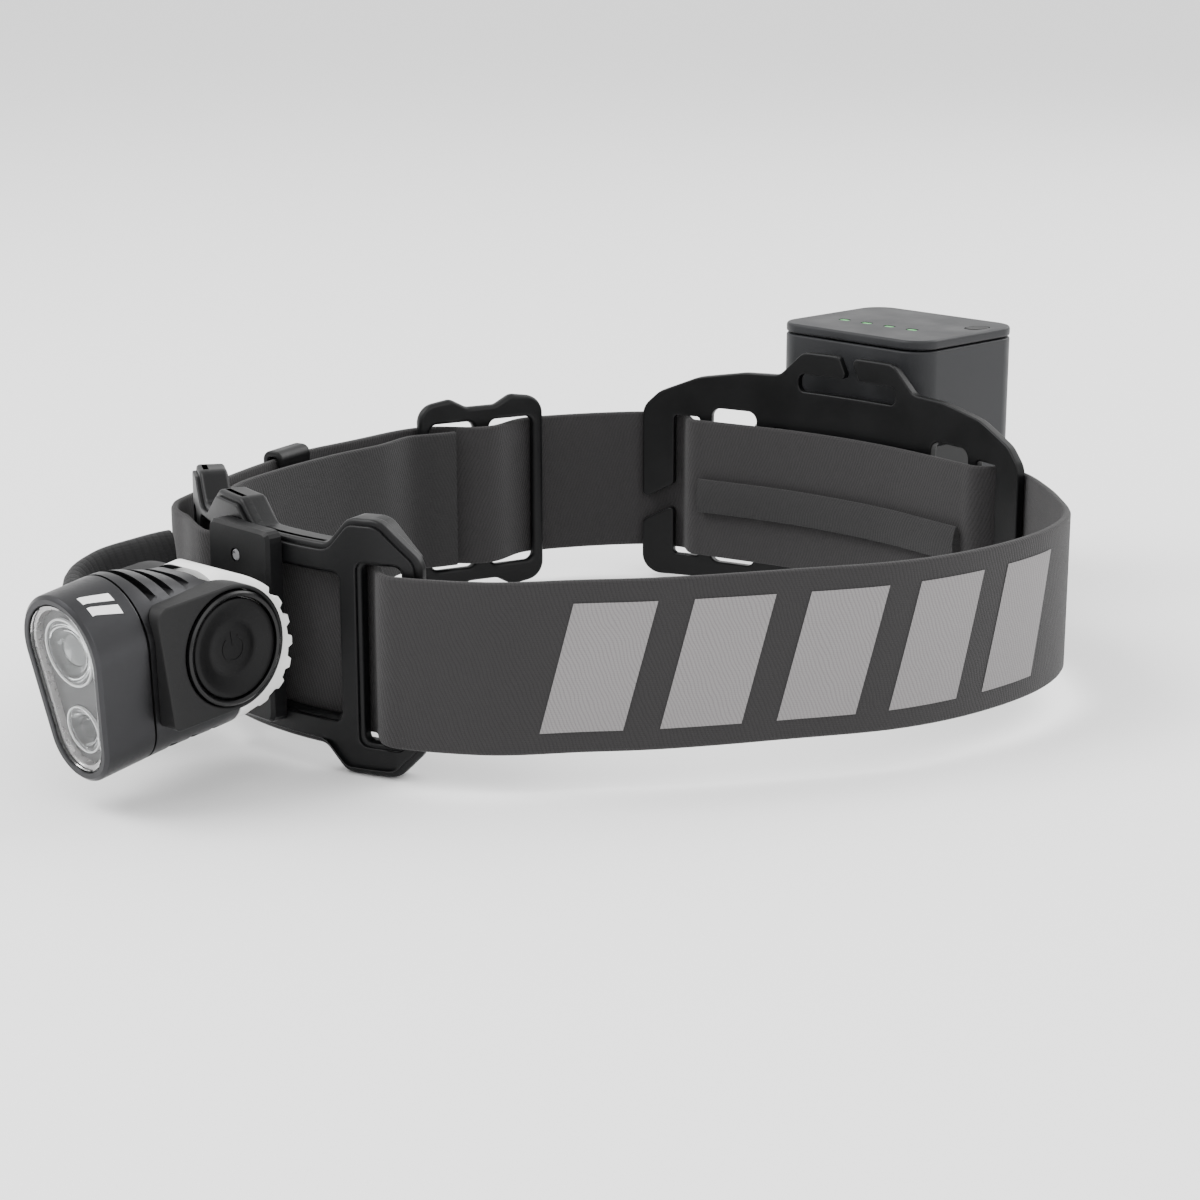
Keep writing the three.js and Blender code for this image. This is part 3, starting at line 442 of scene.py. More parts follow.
RIB_RELIEF = 0.00016           # how deep the weave looks, in metres
PRINT_RELIEF = 0.00008         # and where a heat-pressed print lies over it


def webbing(name, colour, rib=0.78, printed=False):
    """Elastic webbing: steep diagonal ribs crossed by fine weft, read from the strap's own coordinates."""
    material, shader = principled(name, colour, 0.85)
    shader.inputs["Sheen Weight"].default_value = 0.08
    shader.inputs["Specular IOR Level"].default_value = 0.2
    shader.inputs["Sheen Roughness"].default_value = 0.6
    strap = node(material, "ShaderNodeAttribute", attribute_name="cloth")
    wander = node(material, "ShaderNodeTexNoise", Scale=0.12, Detail=2.0)
    wire(material, strap.outputs["Vector"], wander.inputs["Vector"])
    split = node(material, "ShaderNodeSeparateXYZ")
    wire(material, strap.outputs["Vector"], split.inputs["Vector"])

    def calc(operation, first, second):
        step = node(material, "ShaderNodeMath", operation=operation)
        for socket, value in zip(step.inputs, (first, second)):
            if isinstance(value, (int, float)):
                socket.default_value = value
            else:
                wire(material, value, socket)
        return step.outputs["Value"]

    def wave(along, up, period, drift=0.0):
        mixed = calc("ADD", calc("MULTIPLY", split.outputs["X"], along),
                     calc("MULTIPLY", split.outputs["Y"], up))
        if drift:
            mixed = calc("ADD", mixed, calc("MULTIPLY", wander.outputs["Fac"], drift))
        turn = calc("MULTIPLY", mixed, 2 * math.pi / period)
        return calc("MULTIPLY_ADD", calc("SINE", turn, 0.0), 0.5)

    ribs = ranged(material, wave(0.93, 0.36, rib, 2.2), 0, 1, -0.5, 0.5)
    weft = ranged(material, wave(0.05, 1.0, 0.42, 0.6), 0, 1, -0.5, 0.5)
    fuzz = node(material, "ShaderNodeTexNoise", Scale=5.0, Detail=3.0)
    wire(material, strap.outputs["Vector"], fuzz.inputs["Vector"])
    height = calc("ADD", calc("MULTIPLY", ribs, 0.6),
                  calc("ADD", calc("MULTIPLY", weft, 0.25),
                       calc("MULTIPLY", fuzz.outputs["Fac"], 0.6)))
    # The base colour follows the weave's height: its low grooves are darker, which is painted shade, with
    # random tone from the fuzz noise.
    tinted(material, shader, ranged(material, height, 0, 1, 0.2, 1.2), *shades(colour, 0.5))
    bumped(material, shader, height, PRINT_RELIEF if printed else RIB_RELIEF)
    return material


DULL = {"Specular_IOR_Level": 0.2}
BLACK = moulded_plastic("satin_black", (0.0025, 0.0026, 0.0029), 0.42, **DULL)
REAR_BLACK = moulded_plastic("rear_black", (0.002, 0.0021, 0.0023), 0.38, **DULL)
COVER = moulded_plastic("cover_grey", (0.0095, 0.0095, 0.0098), 0.55, depth=0.00003, **DULL)
GLOSS = moulded_plastic("gloss_ring", (0.002, 0.002, 0.0022), 0.22, depth=0.000005, Specular_IOR_Level=0.3)
RUBBER = moulded_plastic("button_rubber", (0.002, 0.002, 0.0022), 0.5, depth=0.00003, **DULL)
WHITE = moulded_plastic("white_plastic", (0.82, 0.82, 0.81), 0.42)
BATTERY = moulded_plastic("battery_grey", (0.017, 0.0175, 0.019), 0.46, **DULL)
OPTIC_GREY = moulded_plastic("optic_plate", (0.022, 0.022, 0.0225), 0.4)
GREEN_BOARD = moulded_plastic("solder_mask", (0.02, 0.12, 0.05), 0.5)
PHOSPHOR = moulded_plastic("phosphor", (0.8, 0.68, 0.25), 0.6)
CELL_WRAP = moulded_plastic("cell_wrap", (0.05, 0.13, 0.32), 0.35)
METAL = anodised("anodised_grey", (0.038, 0.038, 0.04))
EDGE = bright_metal("machined_edge", (0.4, 0.385, 0.385), 0.3)
MIRROR = bright_metal("optic_silver", (0.32, 0.32, 0.32), 0.08)
STEEL = bright_metal("plain_steel", (0.5, 0.5, 0.52), 0.3)
GLASS = clear("lens_clear", (0.97, 0.98, 0.98), ior=1.2)
ACRYLIC = clear("optic_clear", (0.72, 0.73, 0.73))
FABRIC = webbing("headband_webbing", (0.0145, 0.0137, 0.0141))
# A darker copy of the band's webbing for the inner strap and the lead channel: painted shade on the parts
# inside and at the back of the loop.
FABRIC_SHADED = webbing("shaded_inner_webbing", (0.0115, 0.0111, 0.0114))
SLEEVE = webbing("lead_sleeving", (0.0095, 0.0095, 0.0098), rib=1.6)
INK = webbing("reflective_print", (0.135, 0.129, 0.130), printed=True)
GREEN = principled("green_light", (0.01, 0.35, 0.04), 0.3)[0]
MARK = moulded_plastic("plain_mark", (0.78, 0.78, 0.78), 0.5)


# ---------------- lamp head
EGG_TOP = (7.7, 12.0)          # height and radius of the front outline's upper circle
EGG_LOW = (-10.5, 9.2)
HALF_WIDTH = 12.0
DRUM_R = 16.7
SHOULDER_R = 9.0
BEZEL_FRONT = 29.7
BEZEL_BACK = 17.5
HOUSING_FRONT = 18.0           # forward of the tilt axis
HOUSING_BACK = -1.5
SEAM_GAP = 0.3                 # between the housing and the drum
TOOTH_COUNT = 7
FIRST_TOOTH = 38.0             # degrees, from straight back
TOOTH_PITCH = 16.5
TOOTH_DEPTH = 1.0
LUG_HALF = 3.5                 # half the width of the room for the hinge's lug
LUG_REACH = 21                 # how far back and down that room goes
COVER_FACE = 14.4
BUTTON_AT = Vector((0, 0, 2.5))
BUTTON_R = 10.2
RING = (10.5, 11.8)
BOSS_R = 12.9
SPOT = (7.2, 6.8)              # height and radius of each optic
FLOOD = (-9.2, 4.7)


def egg(grow=0.0):
    """The lamp's front outline in (x, z), from its highest point."""
    lean = math.degrees(math.asin((EGG_TOP[1] - EGG_LOW[1]) / (EGG_TOP[0] - EGG_LOW[0])))
    line = arc(0, EGG_TOP[0], EGG_TOP[1] + grow, 90, 180 + lean, 5)
    line += arc(0, EGG_LOW[0], EGG_LOW[1] + grow, 180 + lean, 360 - lean, 5)
    line += arc(0, EGG_TOP[0], EGG_TOP[1] + grow, -lean, 90, 5)[:-1]
    return line


def oblong(grow=0.0):
    """The lamp's rear outline in (x, z), from the middle of its top."""
    w, h, corner = HALF_WIDTH + grow, DRUM_R + grow, SHOULDER_R
    line = [Vector((0, h))]
    line += arc(-w + corner, h - corner, corner, 90, 180)
    line += arc(-w + corner, -h + corner, corner, 180, 270)
    line += arc(w - corner, -h + corner, corner, 270, 360)
    line += arc(w - corner, h - corner, corner, 0, 90)
    return line


def egg_rings(profile):
    """Rings of the front outline from (growth, y) pairs."""
    return [[Vector((p.x, y, p.y)) for p in egg(grow)] for grow, y in profile]


def bezel():
    front, back = -BEZEL_FRONT, -BEZEL_BACK
    profile = [(-0.5, back), (-0.12, back - 0.08), (0, back - 0.4),
               (0, front + 0.9), (-0.1, front + 0.6), (-0.6, front + 0.12),
               (-0.8, front), (-1.75, front + 0.05), (-1.9, front + 0.2),
               (-2.15, front + 0.9), (-2.15, -27.2), (-3.1, -27.2), (-3.1, back)]
    return skinned(egg_rings(profile), "loop")


def lens():
    profile = [(-2.6, -28.3), (-2.25, -28.4), (-2.25, -29.3), (-2.5, -29.45)]
    return skinned(egg_rings(profile))


def lens_rim():
    """A pale tray wall that runs round just behind the lens."""
    profile = [(-2.35, -28.2), (-3.2, -28.2), (-3.7, -26.6), (-3.7, -26.0), (-2.6, -26.0)]
    return skinned(egg_rings(profile), "loop")


def optic_plate():
    holes = [circle(0, z, radius + 0.2) for z, radius in (SPOT, FLOOD)]
    return prism("y", egg(-3.6), -26.9, -25.6, holes)


def reflector(z, radius):
    """The silvered outside of a collimating optic, a bowl that opens forward."""
    outer = [(radius * share, depth) for share, depth in
             ((0.36, -20.3), (0.6, -21.2), (0.8, -22.7), (0.93, -24.6), (1.0, -26.7))]
    inner = [(r - 0.25, y - 0.05) for r, y in reversed(outer)]
    return turned("y", outer + inner, (0, 0, z))


def optic_lens(z, radius):
    """The clear optic: a flanged block whose front has a domed middle."""
    profile = [(0, -20.9), (0.33 * radius, -20.9), (0.62 * radius, -22.2), (0.8 * radius, -23.7),
               (0.9 * radius, -25.4), (0.93 * radius, -26.7), (0.98 * radius, -26.8),
               (0.98 * radius, -27.2), (0.86 * radius, -27.2), (0.8 * radius, -26.9),
               (0.56 * radius, -26.2), (0.5 * radius, -26.0), (0.4 * radius, -26.7),
               (0.22 * radius, -27.2), (0, -27.4)]
    return turned("y", profile, (0, 0, z))


def optic_ring(z, radius):
    """The white lip round an optic."""
    profile = [(0.99 * radius, -26.8), (1.05 * radius, -26.8), (1.05 * radius, -27.5),
               (0.99 * radius, -27.5)]
    return turned("y", profile, (0, 0, z))


def housing_skin(grow=0.0):
    """The lamp's body, from the front outline back to the rear one."""
    around, steps = 132, 26
    front = [p + Vector((0, HEAD_AT.z)) for p in evenly(egg(grow), around)]
    back = evenly(oblong(grow), around)
    rings = []
    for k in range(steps + 1):
        share = k / steps
        ease = eased(share)
        y = -(HOUSING_FRONT + grow + (HOUSING_BACK - HOUSING_FRONT - 2 * grow) * share)
        rings.append([Vector((p.x + (q.x - p.x) * ease, y, p.y + (q.y - p.y) * ease))
                      for p, q in zip(front, back)])
    return skinned(rings)


def cooling_slot(forward, floor, side):
    """A milled slot across a shoulder, leaning back as it comes down."""
    outline = rounded([(-10, -0.95, 0.94), (10, -0.95, 0.94), (10, 0.95, 0.94), (-10, 0.95, 0.94)])
    cutter = plate(outline, [], -6, 6)
    turn = Matrix.Rotation(0.2 * side, 4, "X") @ Matrix.Rotation(0.06 * side, 4, "Z")
    return moved(cutter, Matrix.Translation((2, -forward, floor + 6 * side)) @ turn)


def lug_room():
    """The room behind the tilt axis that the hinge's lug sweeps as the lamp tilts."""
    return [block((-LUG_HALF, front, -LUG_REACH), (LUG_HALF, LUG_REACH, top))
            for front, top in ((1.2, 12.5), (0, 4.7))]


def housing():
    slots = [cooling_slot(forward, floor, 1)
             for forward, floor in ((15, 16.9), (10.2, 16.3), (5.2, 15.8), (0.2, 14.9))]
    slots += [cooling_slot(forward, -14.8, -1) for forward in (13.5, 8.6, 3.7)]
    pocket = block((-LUG_HALF, -2.4, -14.5), (LUG_HALF, 3, 4.4))
    return bevelled(carved(housing_skin(), [*slots, pocket, *lug_room()]), 0.4, 2, 32)


def drum_outline():
    """The rear cap seen from the side, in (y, z): half a drum with ratchet teeth low at the back."""
    front = SEAM_GAP - HOUSING_BACK
    seam = math.degrees(math.acos(front / DRUM_R))
    line = arc(0, 0, DRUM_R, seam, FIRST_TOOTH, 4)
    for k in range(TOOTH_COUNT):
        start = FIRST_TOOTH - k * TOOTH_PITCH
        line += arc(0, 0, DRUM_R - TOOTH_DEPTH, start - 0.12 * TOOTH_PITCH, start - 0.5 * TOOTH_PITCH, 3)
        line += arc(0, 0, DRUM_R, start - 0.62 * TOOTH_PITCH, start - TOOTH_PITCH, 3)
    return line + [Vector((front, -DRUM_R * math.sin(math.radians(seam))))]


def shoulders(grow=0.0):
    """The rear outline drawn out backwards, which rounds whatever is kept inside it."""
    return prism("y", oblong(grow), 0, DRUM_R + 3)


def drum():
    solid = prism("x", drum_outline(), -HALF_WIDTH, HALF_WIDTH)
    solid = carved(solid, [shoulders()], "INTERSECT")
    return bevelled(carved(solid, lug_room()), 0.25, 2, 28)


def cover_outline():
    """A flank that runs back into a round boss, in (y, z)."""
    low, high = BUTTON_AT.z - BOSS_R, BUTTON_AT.z + BOSS_R
    corners = rounded([(-17.1, -9.2, 1.5), (0, low, 0.1), (0, high, 0.1), (-16.8, 16.5, 3)])
    front = [p for p in corners if p.x < -1]
    below = [p for p in front if p.y < 0]
    above = [p for p in front if p.y > 0]
    return below + arc(0, BUTTON_AT.z, BOSS_R, -90, 90, 4) + above


def side_cover(side):
    """The cover fills the space over the rounded shoulders of the housing and the drum."""
    hole = circle(0, BUTTON_AT.z, RING[1] + 0.18, 4) if side > 0 else circle(0, 0, 4.6, 4)
    shell = moved(plate(cover_outline(), [hole], 7, COVER_FACE, 0.45), ALONG_X)
    drum_room = carved(prism("x", circle(0, 0, DRUM_R + 0.2), -20, 20), [shoulders(0.2)], "INTERSECT")
    shell = carved(shell, [housing_skin(0.2), drum_room])
    return shell if side > 0 else moved(shell, Matrix.Scale(-1, 4, (1, 0, 0)))


def button_ring():
    inner, outer = RING
    back, front = HALF_WIDTH + 0.3, COVER_FACE + 0.75
    profile = [(inner, back), (outer, back), (outer, front - 0.7), (outer - 0.12, front - 0.3),
               (outer - 0.5, front), (inner + 0.4, front), (inner + 0.1, front - 0.2),
               (inner, front - 0.5)]
    return turned("x", profile, BUTTON_AT, 96)


def button_pad():
    """A rubber dish: a rolled rim, a concave slope and a low domed middle."""
    r = BUTTON_R
    back, rim = HALF_WIDTH + 1.2, COVER_FACE + 0.5
    profile = [(0, back), (r, back), (r, rim - 0.5), (r - 0.15, rim - 0.15),
               (r - 0.6, rim), (r - 1.3, rim - 0.06), (r - 2.6, rim - 0.5),
               (r - 3.9, rim - 0.95), (r - 4.6, rim - 1.05), (r - 5.1, rim - 0.98),
               (r - 5.6, rim - 0.82), (3.6, rim - 0.76), (0, rim - 0.72)]
    return turned("x", profile, BUTTON_AT, 96)


def power_symbol():
    """The usual on-off sign: a broken ring and a bar, as a raised line."""
    face = COVER_FACE + 0.5 - 0.74
    ring_r, line_half, gap = 2.6, 0.2, 32
    ring = arc(0, 0, ring_r + line_half, 90 + gap, 450 - gap, 6)
    ring += arc(0, 0, ring_r - line_half, 450 - gap, 90 + gap, 6)
    bar = rectangle(-line_half, 0.6, line_half, ring_r + 0.9, 0.15)
    sign = joined(prism("x", ring, face - 0.1, face + 0.14), prism("x", bar, face - 0.1, face + 0.14))
    return moved(sign, Matrix.Translation(BUTTON_AT))


def bezel_marks():
    """Two plain slanted bars printed over the bezel's near shoulder."""
    around, levels, width = 400, 8, 8           # outline points, steps back, steps across
    front, length, lean = 3.2, 6.2, 7           # from the bezel's front, along Y, and in outline points
    outline = evenly(egg(0.03), around)
    meshes = []
    for start in (-29, -17):
        rows = []
        for level in range(levels + 1):
            back = level / levels
            y = -BEZEL_FRONT + front + length * back
            first = int(start - lean * back) - width
            rows.append([Vector((outline[k % around].x, y, outline[k % around].y))
                         for k in range(first, first + width + 1)])
        meshes.append(sheet_mesh(rows))
    return joined(*meshes)


def build_lamp():
    body = "lamp"
    piece("bezel_shell", bezel(), HEAD, METAL, body, ["bezel"], 25)
    piece("bezel_bars", bezel_marks(), HEAD, MARK, body)
    piece("front_window_lens", lens(), HEAD, GLASS, body, ["front_lens"])
    piece("lens_tray_rim", lens_rim(), HEAD, EDGE, body, ["lens_gasket"])
    piece("optic_plate", optic_plate(), HEAD, OPTIC_GREY, body, ["optic_holder"])
    for label, (z, radius) in (("spot", SPOT), ("flood", FLOOD)):
        piece(f"{label}_reflector", reflector(z, radius), HEAD, MIRROR, body)
        piece(f"{label}_lens", optic_lens(z, radius), HEAD, ACRYLIC, body,
              [f"{label}_optic"], 40)
        piece(f"{label}_lip", optic_ring(z, radius), HEAD, MARK, body)
    piece("finned_housing", housing(), LAMP, METAL, body, ["lamp_housing"], 30)
    piece("ratchet_drum", drum(), LAMP, WHITE, body, ["tilt_drum"], 40)
    piece("button_side_cover", side_cover(1), LAMP, COVER, body, ["side_cover"], 40)
    piece("lead_side_cover", side_cover(-1), LAMP, COVER, body, ["far_cover"], 40)
    piece("button_bezel_ring", button_ring(), LAMP, GLOSS, body, ["button_ring"])
    piece("button_pad", button_pad(), LAMP, RUBBER, "lamp_button", ["power_button"], 50)
    piece("power_sign", power_symbol(), LAMP, RUBBER, "lamp_button")


# ---------------- brackets
FRONT = {"centre": -17.0, "inner": 74.0, "outer": 78.0, "facing": -1}
REAR = {"centre": 0.0, "inner": 158.0, "outer": 160.2, "facing": 1}      # in its own frame
REAR_CENTRE = Vector((16.2, -74.9, 0))
REAR_FRAME = Matrix.Translation(REAR_CENTRE) @ Matrix.Rotation(math.radians(3.84), 4, "Z")


def bent(mesh, bracket, step=1.6):
    """Wraps a flat plate, drawn in (x, z) with its thickness from the inner radius, round a bracket."""
    work = bmesh.new()
    work.from_mesh(mesh)
    reach = max(abs(vertex.co.x) for vertex in work.verts)
    for k in range(-int(reach / step), int(reach / step) + 1):
        everything = work.verts[:] + work.edges[:] + work.faces[:]
        bmesh.ops.bisect_plane(work, geom=everything, plane_co=(k * step, 0, 0), plane_no=(1, 0, 0))
    middle = (bracket["inner"] + bracket["outer"]) / 2
    for vertex in work.verts:
        angle = math.asin(vertex.co.x / middle)
        radius = bracket["inner"] + vertex.co.z
        height = vertex.co.y
        vertex.co = (radius * math.sin(angle),
                     bracket["centre"] + bracket["facing"] * radius * math.cos(angle), height)
    work.to_mesh(mesh)
    work.free()
    return mesh


FRONT_OUTLINE = [
    (-51.5, 45, 6), (-42.5, 54, 4), (-35, 54, 3), (-30, 48.3, 2), (-26, 48.3, 2), (-20, 53.5, 3),
    (-9.5, 53.5, 3), (-4, 48.3, 3), (17, 48.3, 3), (22, 54.2, 4), (29, 54.4, 5), (37.3, 46.5, 5),
    (37.5, 6.5, 5), (32, 0.3, 4), (20.5, 0, 4), (15.5, 5.2, 3), (-30, 5.2, 3), (-35, 0, 4), (-46, 0, 5),
    (-51.5, 9, 6),
]


# Each window's left, bottom, right and top.
FRONT_WINDOWS = [
    (0.5, 11.8, 19.7, 42), (-30.5, 7.2, -11.5, 44.8), (25, 7.2, 33.2, 44.8), (-41, 7.2, -36.5, 44.8),
]


def inset_corners(corners, amount):
    """The corners of a rounded outline that runs inside the given one by about the amount."""
    line = counterclockwise([Vector(corner[:2]) for corner in corners])
    forward = line[0] == Vector(corners[0][:2])
    radii = [corner[2] for corner in corners]
    radii = radii if forward else radii[::-1]
    result = []
    for i, here in enumerate(line):
        before = (here - line[i - 1]).normalized()
        after = (line[(i + 1) % len(line)] - here).normalized()
        normals = [Vector((-before.y, before.x)), Vector((-after.y, after.x))]
        middle = (normals[0] + normals[1]).normalized()
        place = here + middle * (amount / max(0.3, middle.dot(normals[0])))
        turn = before.x * after.y - before.y * after.x
        result.append((*place, max(0.3, radii[i] - amount if turn > 0 else radii[i] + amount)))
    return result


def build_front_bracket():
    """A plate with a raised face, and thick rolled edges along its humps and feet."""
    holes = [rectangle(*window, 1.5) for window in FRONT_WINDOWS]
    wide_holes = [rectangle(a - 0.8, b - 0.8, c + 0.8, d + 0.8, 2) for a, b, c, d in FRONT_WINDOWS]
    back = plate(rounded(FRONT_OUTLINE), holes, 0, 3.1, 0.8)
    face = plate(rounded(inset_corners(FRONT_OUTLINE, 1.3)), wide_holes, 2.6, 4.0, 0.35)
    top = [(-50.6, 45.3, 0.8), *FRONT_OUTLINE[1:11], (36.6, 45.3, 0.8)]
    left_foot = [(-50, 6.6, 0.8), (-46, 0, 5), (-35, 0, 4), (-31, 6.6, 0.8)]
    right_foot = [(16.4, 6.6, 0.8), (20.5, 0, 4), (32, 0.3, 4), (36.6, 6.6, 0.8)]
    rolls = [plate(rounded(line), [], -3.2, 2.9, 0.9) for line in (top, left_foot, right_foot)]
    body = joined(*[bent(mesh, FRONT) for mesh in (back, *rolls)])
    piece("front_bracket_body", body, LOOP, BLACK, "frame", ["front_bracket"], 50)
    piece("front_bracket_face", bent(face, FRONT), LOOP, BLACK, "frame", (), 50)


# One line round the rear bracket: the open hooks, the left shoulder, the strap slot that opens through
# a slanting entry, and back along the foot and up the right.
REAR_OUTLINE = [
    (3.4, 58.4, 0.8), (15.2, 58.4, 1.8), (15.2, 53.9, 1.8), (-15.2, 53.9, 1.8), (-15.2, 58.4, 1.8),
    (-0.4, 58.4, 1.2), (-3.2, 64, 1.5), (-14, 64, 4), (-21, 57.4, 4), (-31, 57, 12), (-44, 54.8, 14),
    (-54.5, 50.3, 6), (-58.8, 46, 5), (-58.8, 21.1, 1.2), (-50.5, 25.9, 1), (-50.5, 44.3, 1),
    (-43.5, 44.3, 1), (-43.5, 7, 1), (-50.5, 7, 1), (-50.5, 20.0, 1), (-58.8, 15.3, 1.2), (-58.8, 1, 5),
    (-36, 1.5, 4),
    (-24, 4.5, 6), (24, 4.5, 6), (36, 1.5, 4), (58.8, 1, 5), (58.8, 46, 5), (54.5, 50.3, 6), (44, 54.8, 14),
    (31, 57, 12), (21, 57.4, 4), (14, 64, 4), (0.2, 64, 1.5),
]


def build_rear_bracket():
    holes = [rectangle(43.5, 7, 50.5, 45, 1)]
    for side in (1, -1):
        holes.append(rectangle(27.5 * side, 6, 40.3 * side, 47, 2.5))
        holes.append(rectangle(18.4 * side, 30, 22 * side, 43.5, 0.4))
    shell = bent(plate(rounded(REAR_OUTLINE), holes, 0, 2.2, 0.4), REAR)
    piece("rear_bracket_plate", shell, LOOP @ REAR_FRAME, REAR_BLACK, "frame",
          ["rear_bracket"], 50)


# ---------------- straps
def front_point(degrees, radius):
    angle = math.radians(degrees)
    return Vector((radius * math.sin(angle), FRONT["centre"] - radius * math.cos(angle)))


def rear_point(along, radius):
    """A point beside the rear bracket, by its place along it and its radius."""
    return (REAR_FRAME @ Vector((along, math.sqrt(radius ** 2 - along ** 2), 0))).to_2d()


OUT_FRONT, IN_FRONT = FRONT["outer"] + 1.7, FRONT["inner"] - 1.6
OUT_REAR, IN_REAR = REAR["outer"] + 1.6, REAR["inner"] - 1.7
BUCKLE_PLACE = Vector((-70.5, 27))
BUCKLE_TURN = math.radians(-16.5)
BAND_THICK = 1.8
BAND_LOW, BAND_HIGH = (corner.z for corner in in_loop("headband"))


def near_buckle(along, outward):
    forward = Vector((math.sin(-BUCKLE_TURN), math.cos(BUCKLE_TURN)))
    return BUCKLE_PLACE + along * forward + outward * Vector((-forward.y, forward.x))


KEEPER_STRETCH = [Vector((-76.4, -26)), Vector((-72.4, -38.5))]
REAR_WEAVE = (
    (57.6, OUT_REAR), (52.3, OUT_REAR), (49.2, OUT_REAR - 0.4), (43.9, IN_REAR + 0.3), (40.2, IN_REAR),
    (14, IN_REAR),
)
BAND_LINE = [
    *map(Vector, ((-55.4, -74), (-51.4, -80.6), (-45, -85.4))),
    *[front_point(*at) for at in (
        (-28.5, OUT_FRONT + 0.4), (-21.2, OUT_FRONT), (-17.1, OUT_FRONT - 0.8), (-12, IN_FRONT + 0.6),
        (-8.6, IN_FRONT), (-4, IN_FRONT), (6, IN_FRONT), (16.5, IN_FRONT), (19.6, IN_FRONT),
        (23.3, OUT_FRONT - 1.3), (24.9, OUT_FRONT - 0.1), (27, OUT_FRONT + 0.1), (31, OUT_FRONT + 0.2),
        (41, OUT_FRONT + 0.3))],
    *map(Vector, ((63, -63.5), (71.5, -52.3), (85, -30), (97, -6.5), (101.5, 16), (100.4, 38), (94, 54.5),
                  (83.5, 65.4), (73, 73.8))),
    *[rear_point(along, radius) for along, radius in REAR_WEAVE],
    *[rear_point(-along, radius) for along, radius in reversed(REAR_WEAVE)],
    Vector((-59.5, 62)),
    *[near_buckle(*at) for at in ((20, 2.9), (13, 2.9), (2.5, -2.9), (-2.5, -2.9), (-13, 2.9), (-20, 2.9))],
    Vector((-78, -8)), *KEEPER_STRETCH, Vector((-63.6, -59.5)),
]
INNER_LINE = [
    front_point(-24, IN_FRONT), front_point(-34, IN_FRONT - 0.4), front_point(-44, IN_FRONT - 1),
    *map(Vector, ((-58.5, -59), (-64.5, -43), (-69, -22), (-70.5, -6))),
    near_buckle(-21, -3.1), near_buckle(-13, -3.2), near_buckle(-8.6, -3.2),
]
CHANNEL_DEPTH = BAND_THICK / 2 + 1.3
CHANNEL_LINE = [rear_point(along, IN_REAR - CHANNEL_DEPTH) for along in (40.5, 14, -14, -40.5)]


def curve_between(p, count=24):
    """Points of a centripetal Catmull-Rom curve from the second of four knots towards the third."""
    d = [math.sqrt((p[k + 1] - p[k]).length) for k in range(3)]
    leave = ((p[1] - p[0]) / d[0] - (p[2] - p[0]) / (d[0] + d[1]) + (p[2] - p[1]) / d[1]) * d[1]
    reach = ((p[2] - p[1]) / d[1] - (p[3] - p[1]) / (d[1] + d[2]) + (p[3] - p[2]) / d[2]) * d[1]
    points = []
    for k in range(count):
        t = k / count
        points.append(p[1] + leave * t + (3 * (p[2] - p[1]) - 2 * leave - reach) * t ** 2
                      + (2 * (p[1] - p[2]) + leave + reach) * t ** 3)
    return points


def smooth_line(knots, closed=False, fine=1.0):
    """A smooth curve through knots, in even steps of about fine millimetres."""
    count = len(knots)
    points = []
    for i in range(count if closed else count - 1):
        if closed:
            p = [knots[(i + k) % count] for k in (-1, 0, 1, 2)]
        else:
            before = knots[i - 1] if i else 2 * knots[0] - knots[1]
            after = knots[i + 2] if i + 2 < count else 2 * knots[-1] - knots[-2]
            p = [before, knots[i], knots[i + 1], after]
        points += curve_between(p)
    points.append(points[0] if closed else knots[-1])
    steps = max(2, round(distances(points)[-1] / fine))
    return resampled(points, steps, steps if closed else steps + 1)


def outward(line, i, closed):
    count = len(line)
    before = line[(i - 1) % count] if closed else line[max(i - 1, 0)]
    after = line[(i + 1) % count] if closed else line[min(i + 1, count - 1)]
    along = (after - before).normalized()
    return Vector((along.y, -along.x))


def strap_section(thick, low, high, bulge):
    """A flat section with soft edges, in (out from the middle, height), and an even crown."""
    half = thick / 2
    rise = half * 0.8
    spans = 10
    side = []
    for k in range(spans + 1):
        share = k / spans
        z = low + rise + (high - low - 2 * rise) * share
        side.append((half + bulge * math.sin(math.pi * share), z))
    corner = [(half * 0.7, rise * 0.28), (half * 0.25, 0.0)]
    top = [(n, high - z) for n, z in corner]
    bottom = [(-n, low + z) for n, z in corner]
    right = side + top
    left = [(-n, low + high - z) for n, z in side]
    far_top = [(-n, z) for n, z in reversed(top)]
    far_bottom = [(-n, z) for n, z in reversed(bottom)]
    return right + far_top + left + bottom + far_bottom


def strap_mesh(line, thick, low, high, closed=False, bulge=0.0, sag=0.0, shape=None):
    """A strap on edge along a plan line, with its own coordinates (length, height, side) for the weave."""
    section = strap_section(thick, low, high, bulge)
    rings, cloth = [], []
    length = 0.0
    for i, point in enumerate(line):
        if i:
            length += (point - line[i - 1]).length
        out = outward(line, i, closed)
        lift = sag * math.sin(length / 23.0) + 0.6 * sag * math.sin(length / 9.7 + 1.0)
        ring = []
        for n, z in section:
            n2, z2 = shape(i / (len(line) - 1), n, z) if shape else (n, z)
            ring.append(Vector((point.x + out.x * n2, point.y + out.y * n2, z2 + lift)))
            cloth.append((length, z, 1.0 if n > 0 else 0.0))
        rings.append(ring)
    points = [point for ring in rings for point in ring]
    faces = ring_faces(rings, "loop" if closed else "caps")
    return tidied(cloth_mesh("strap", points, faces, cloth), 1e-6)


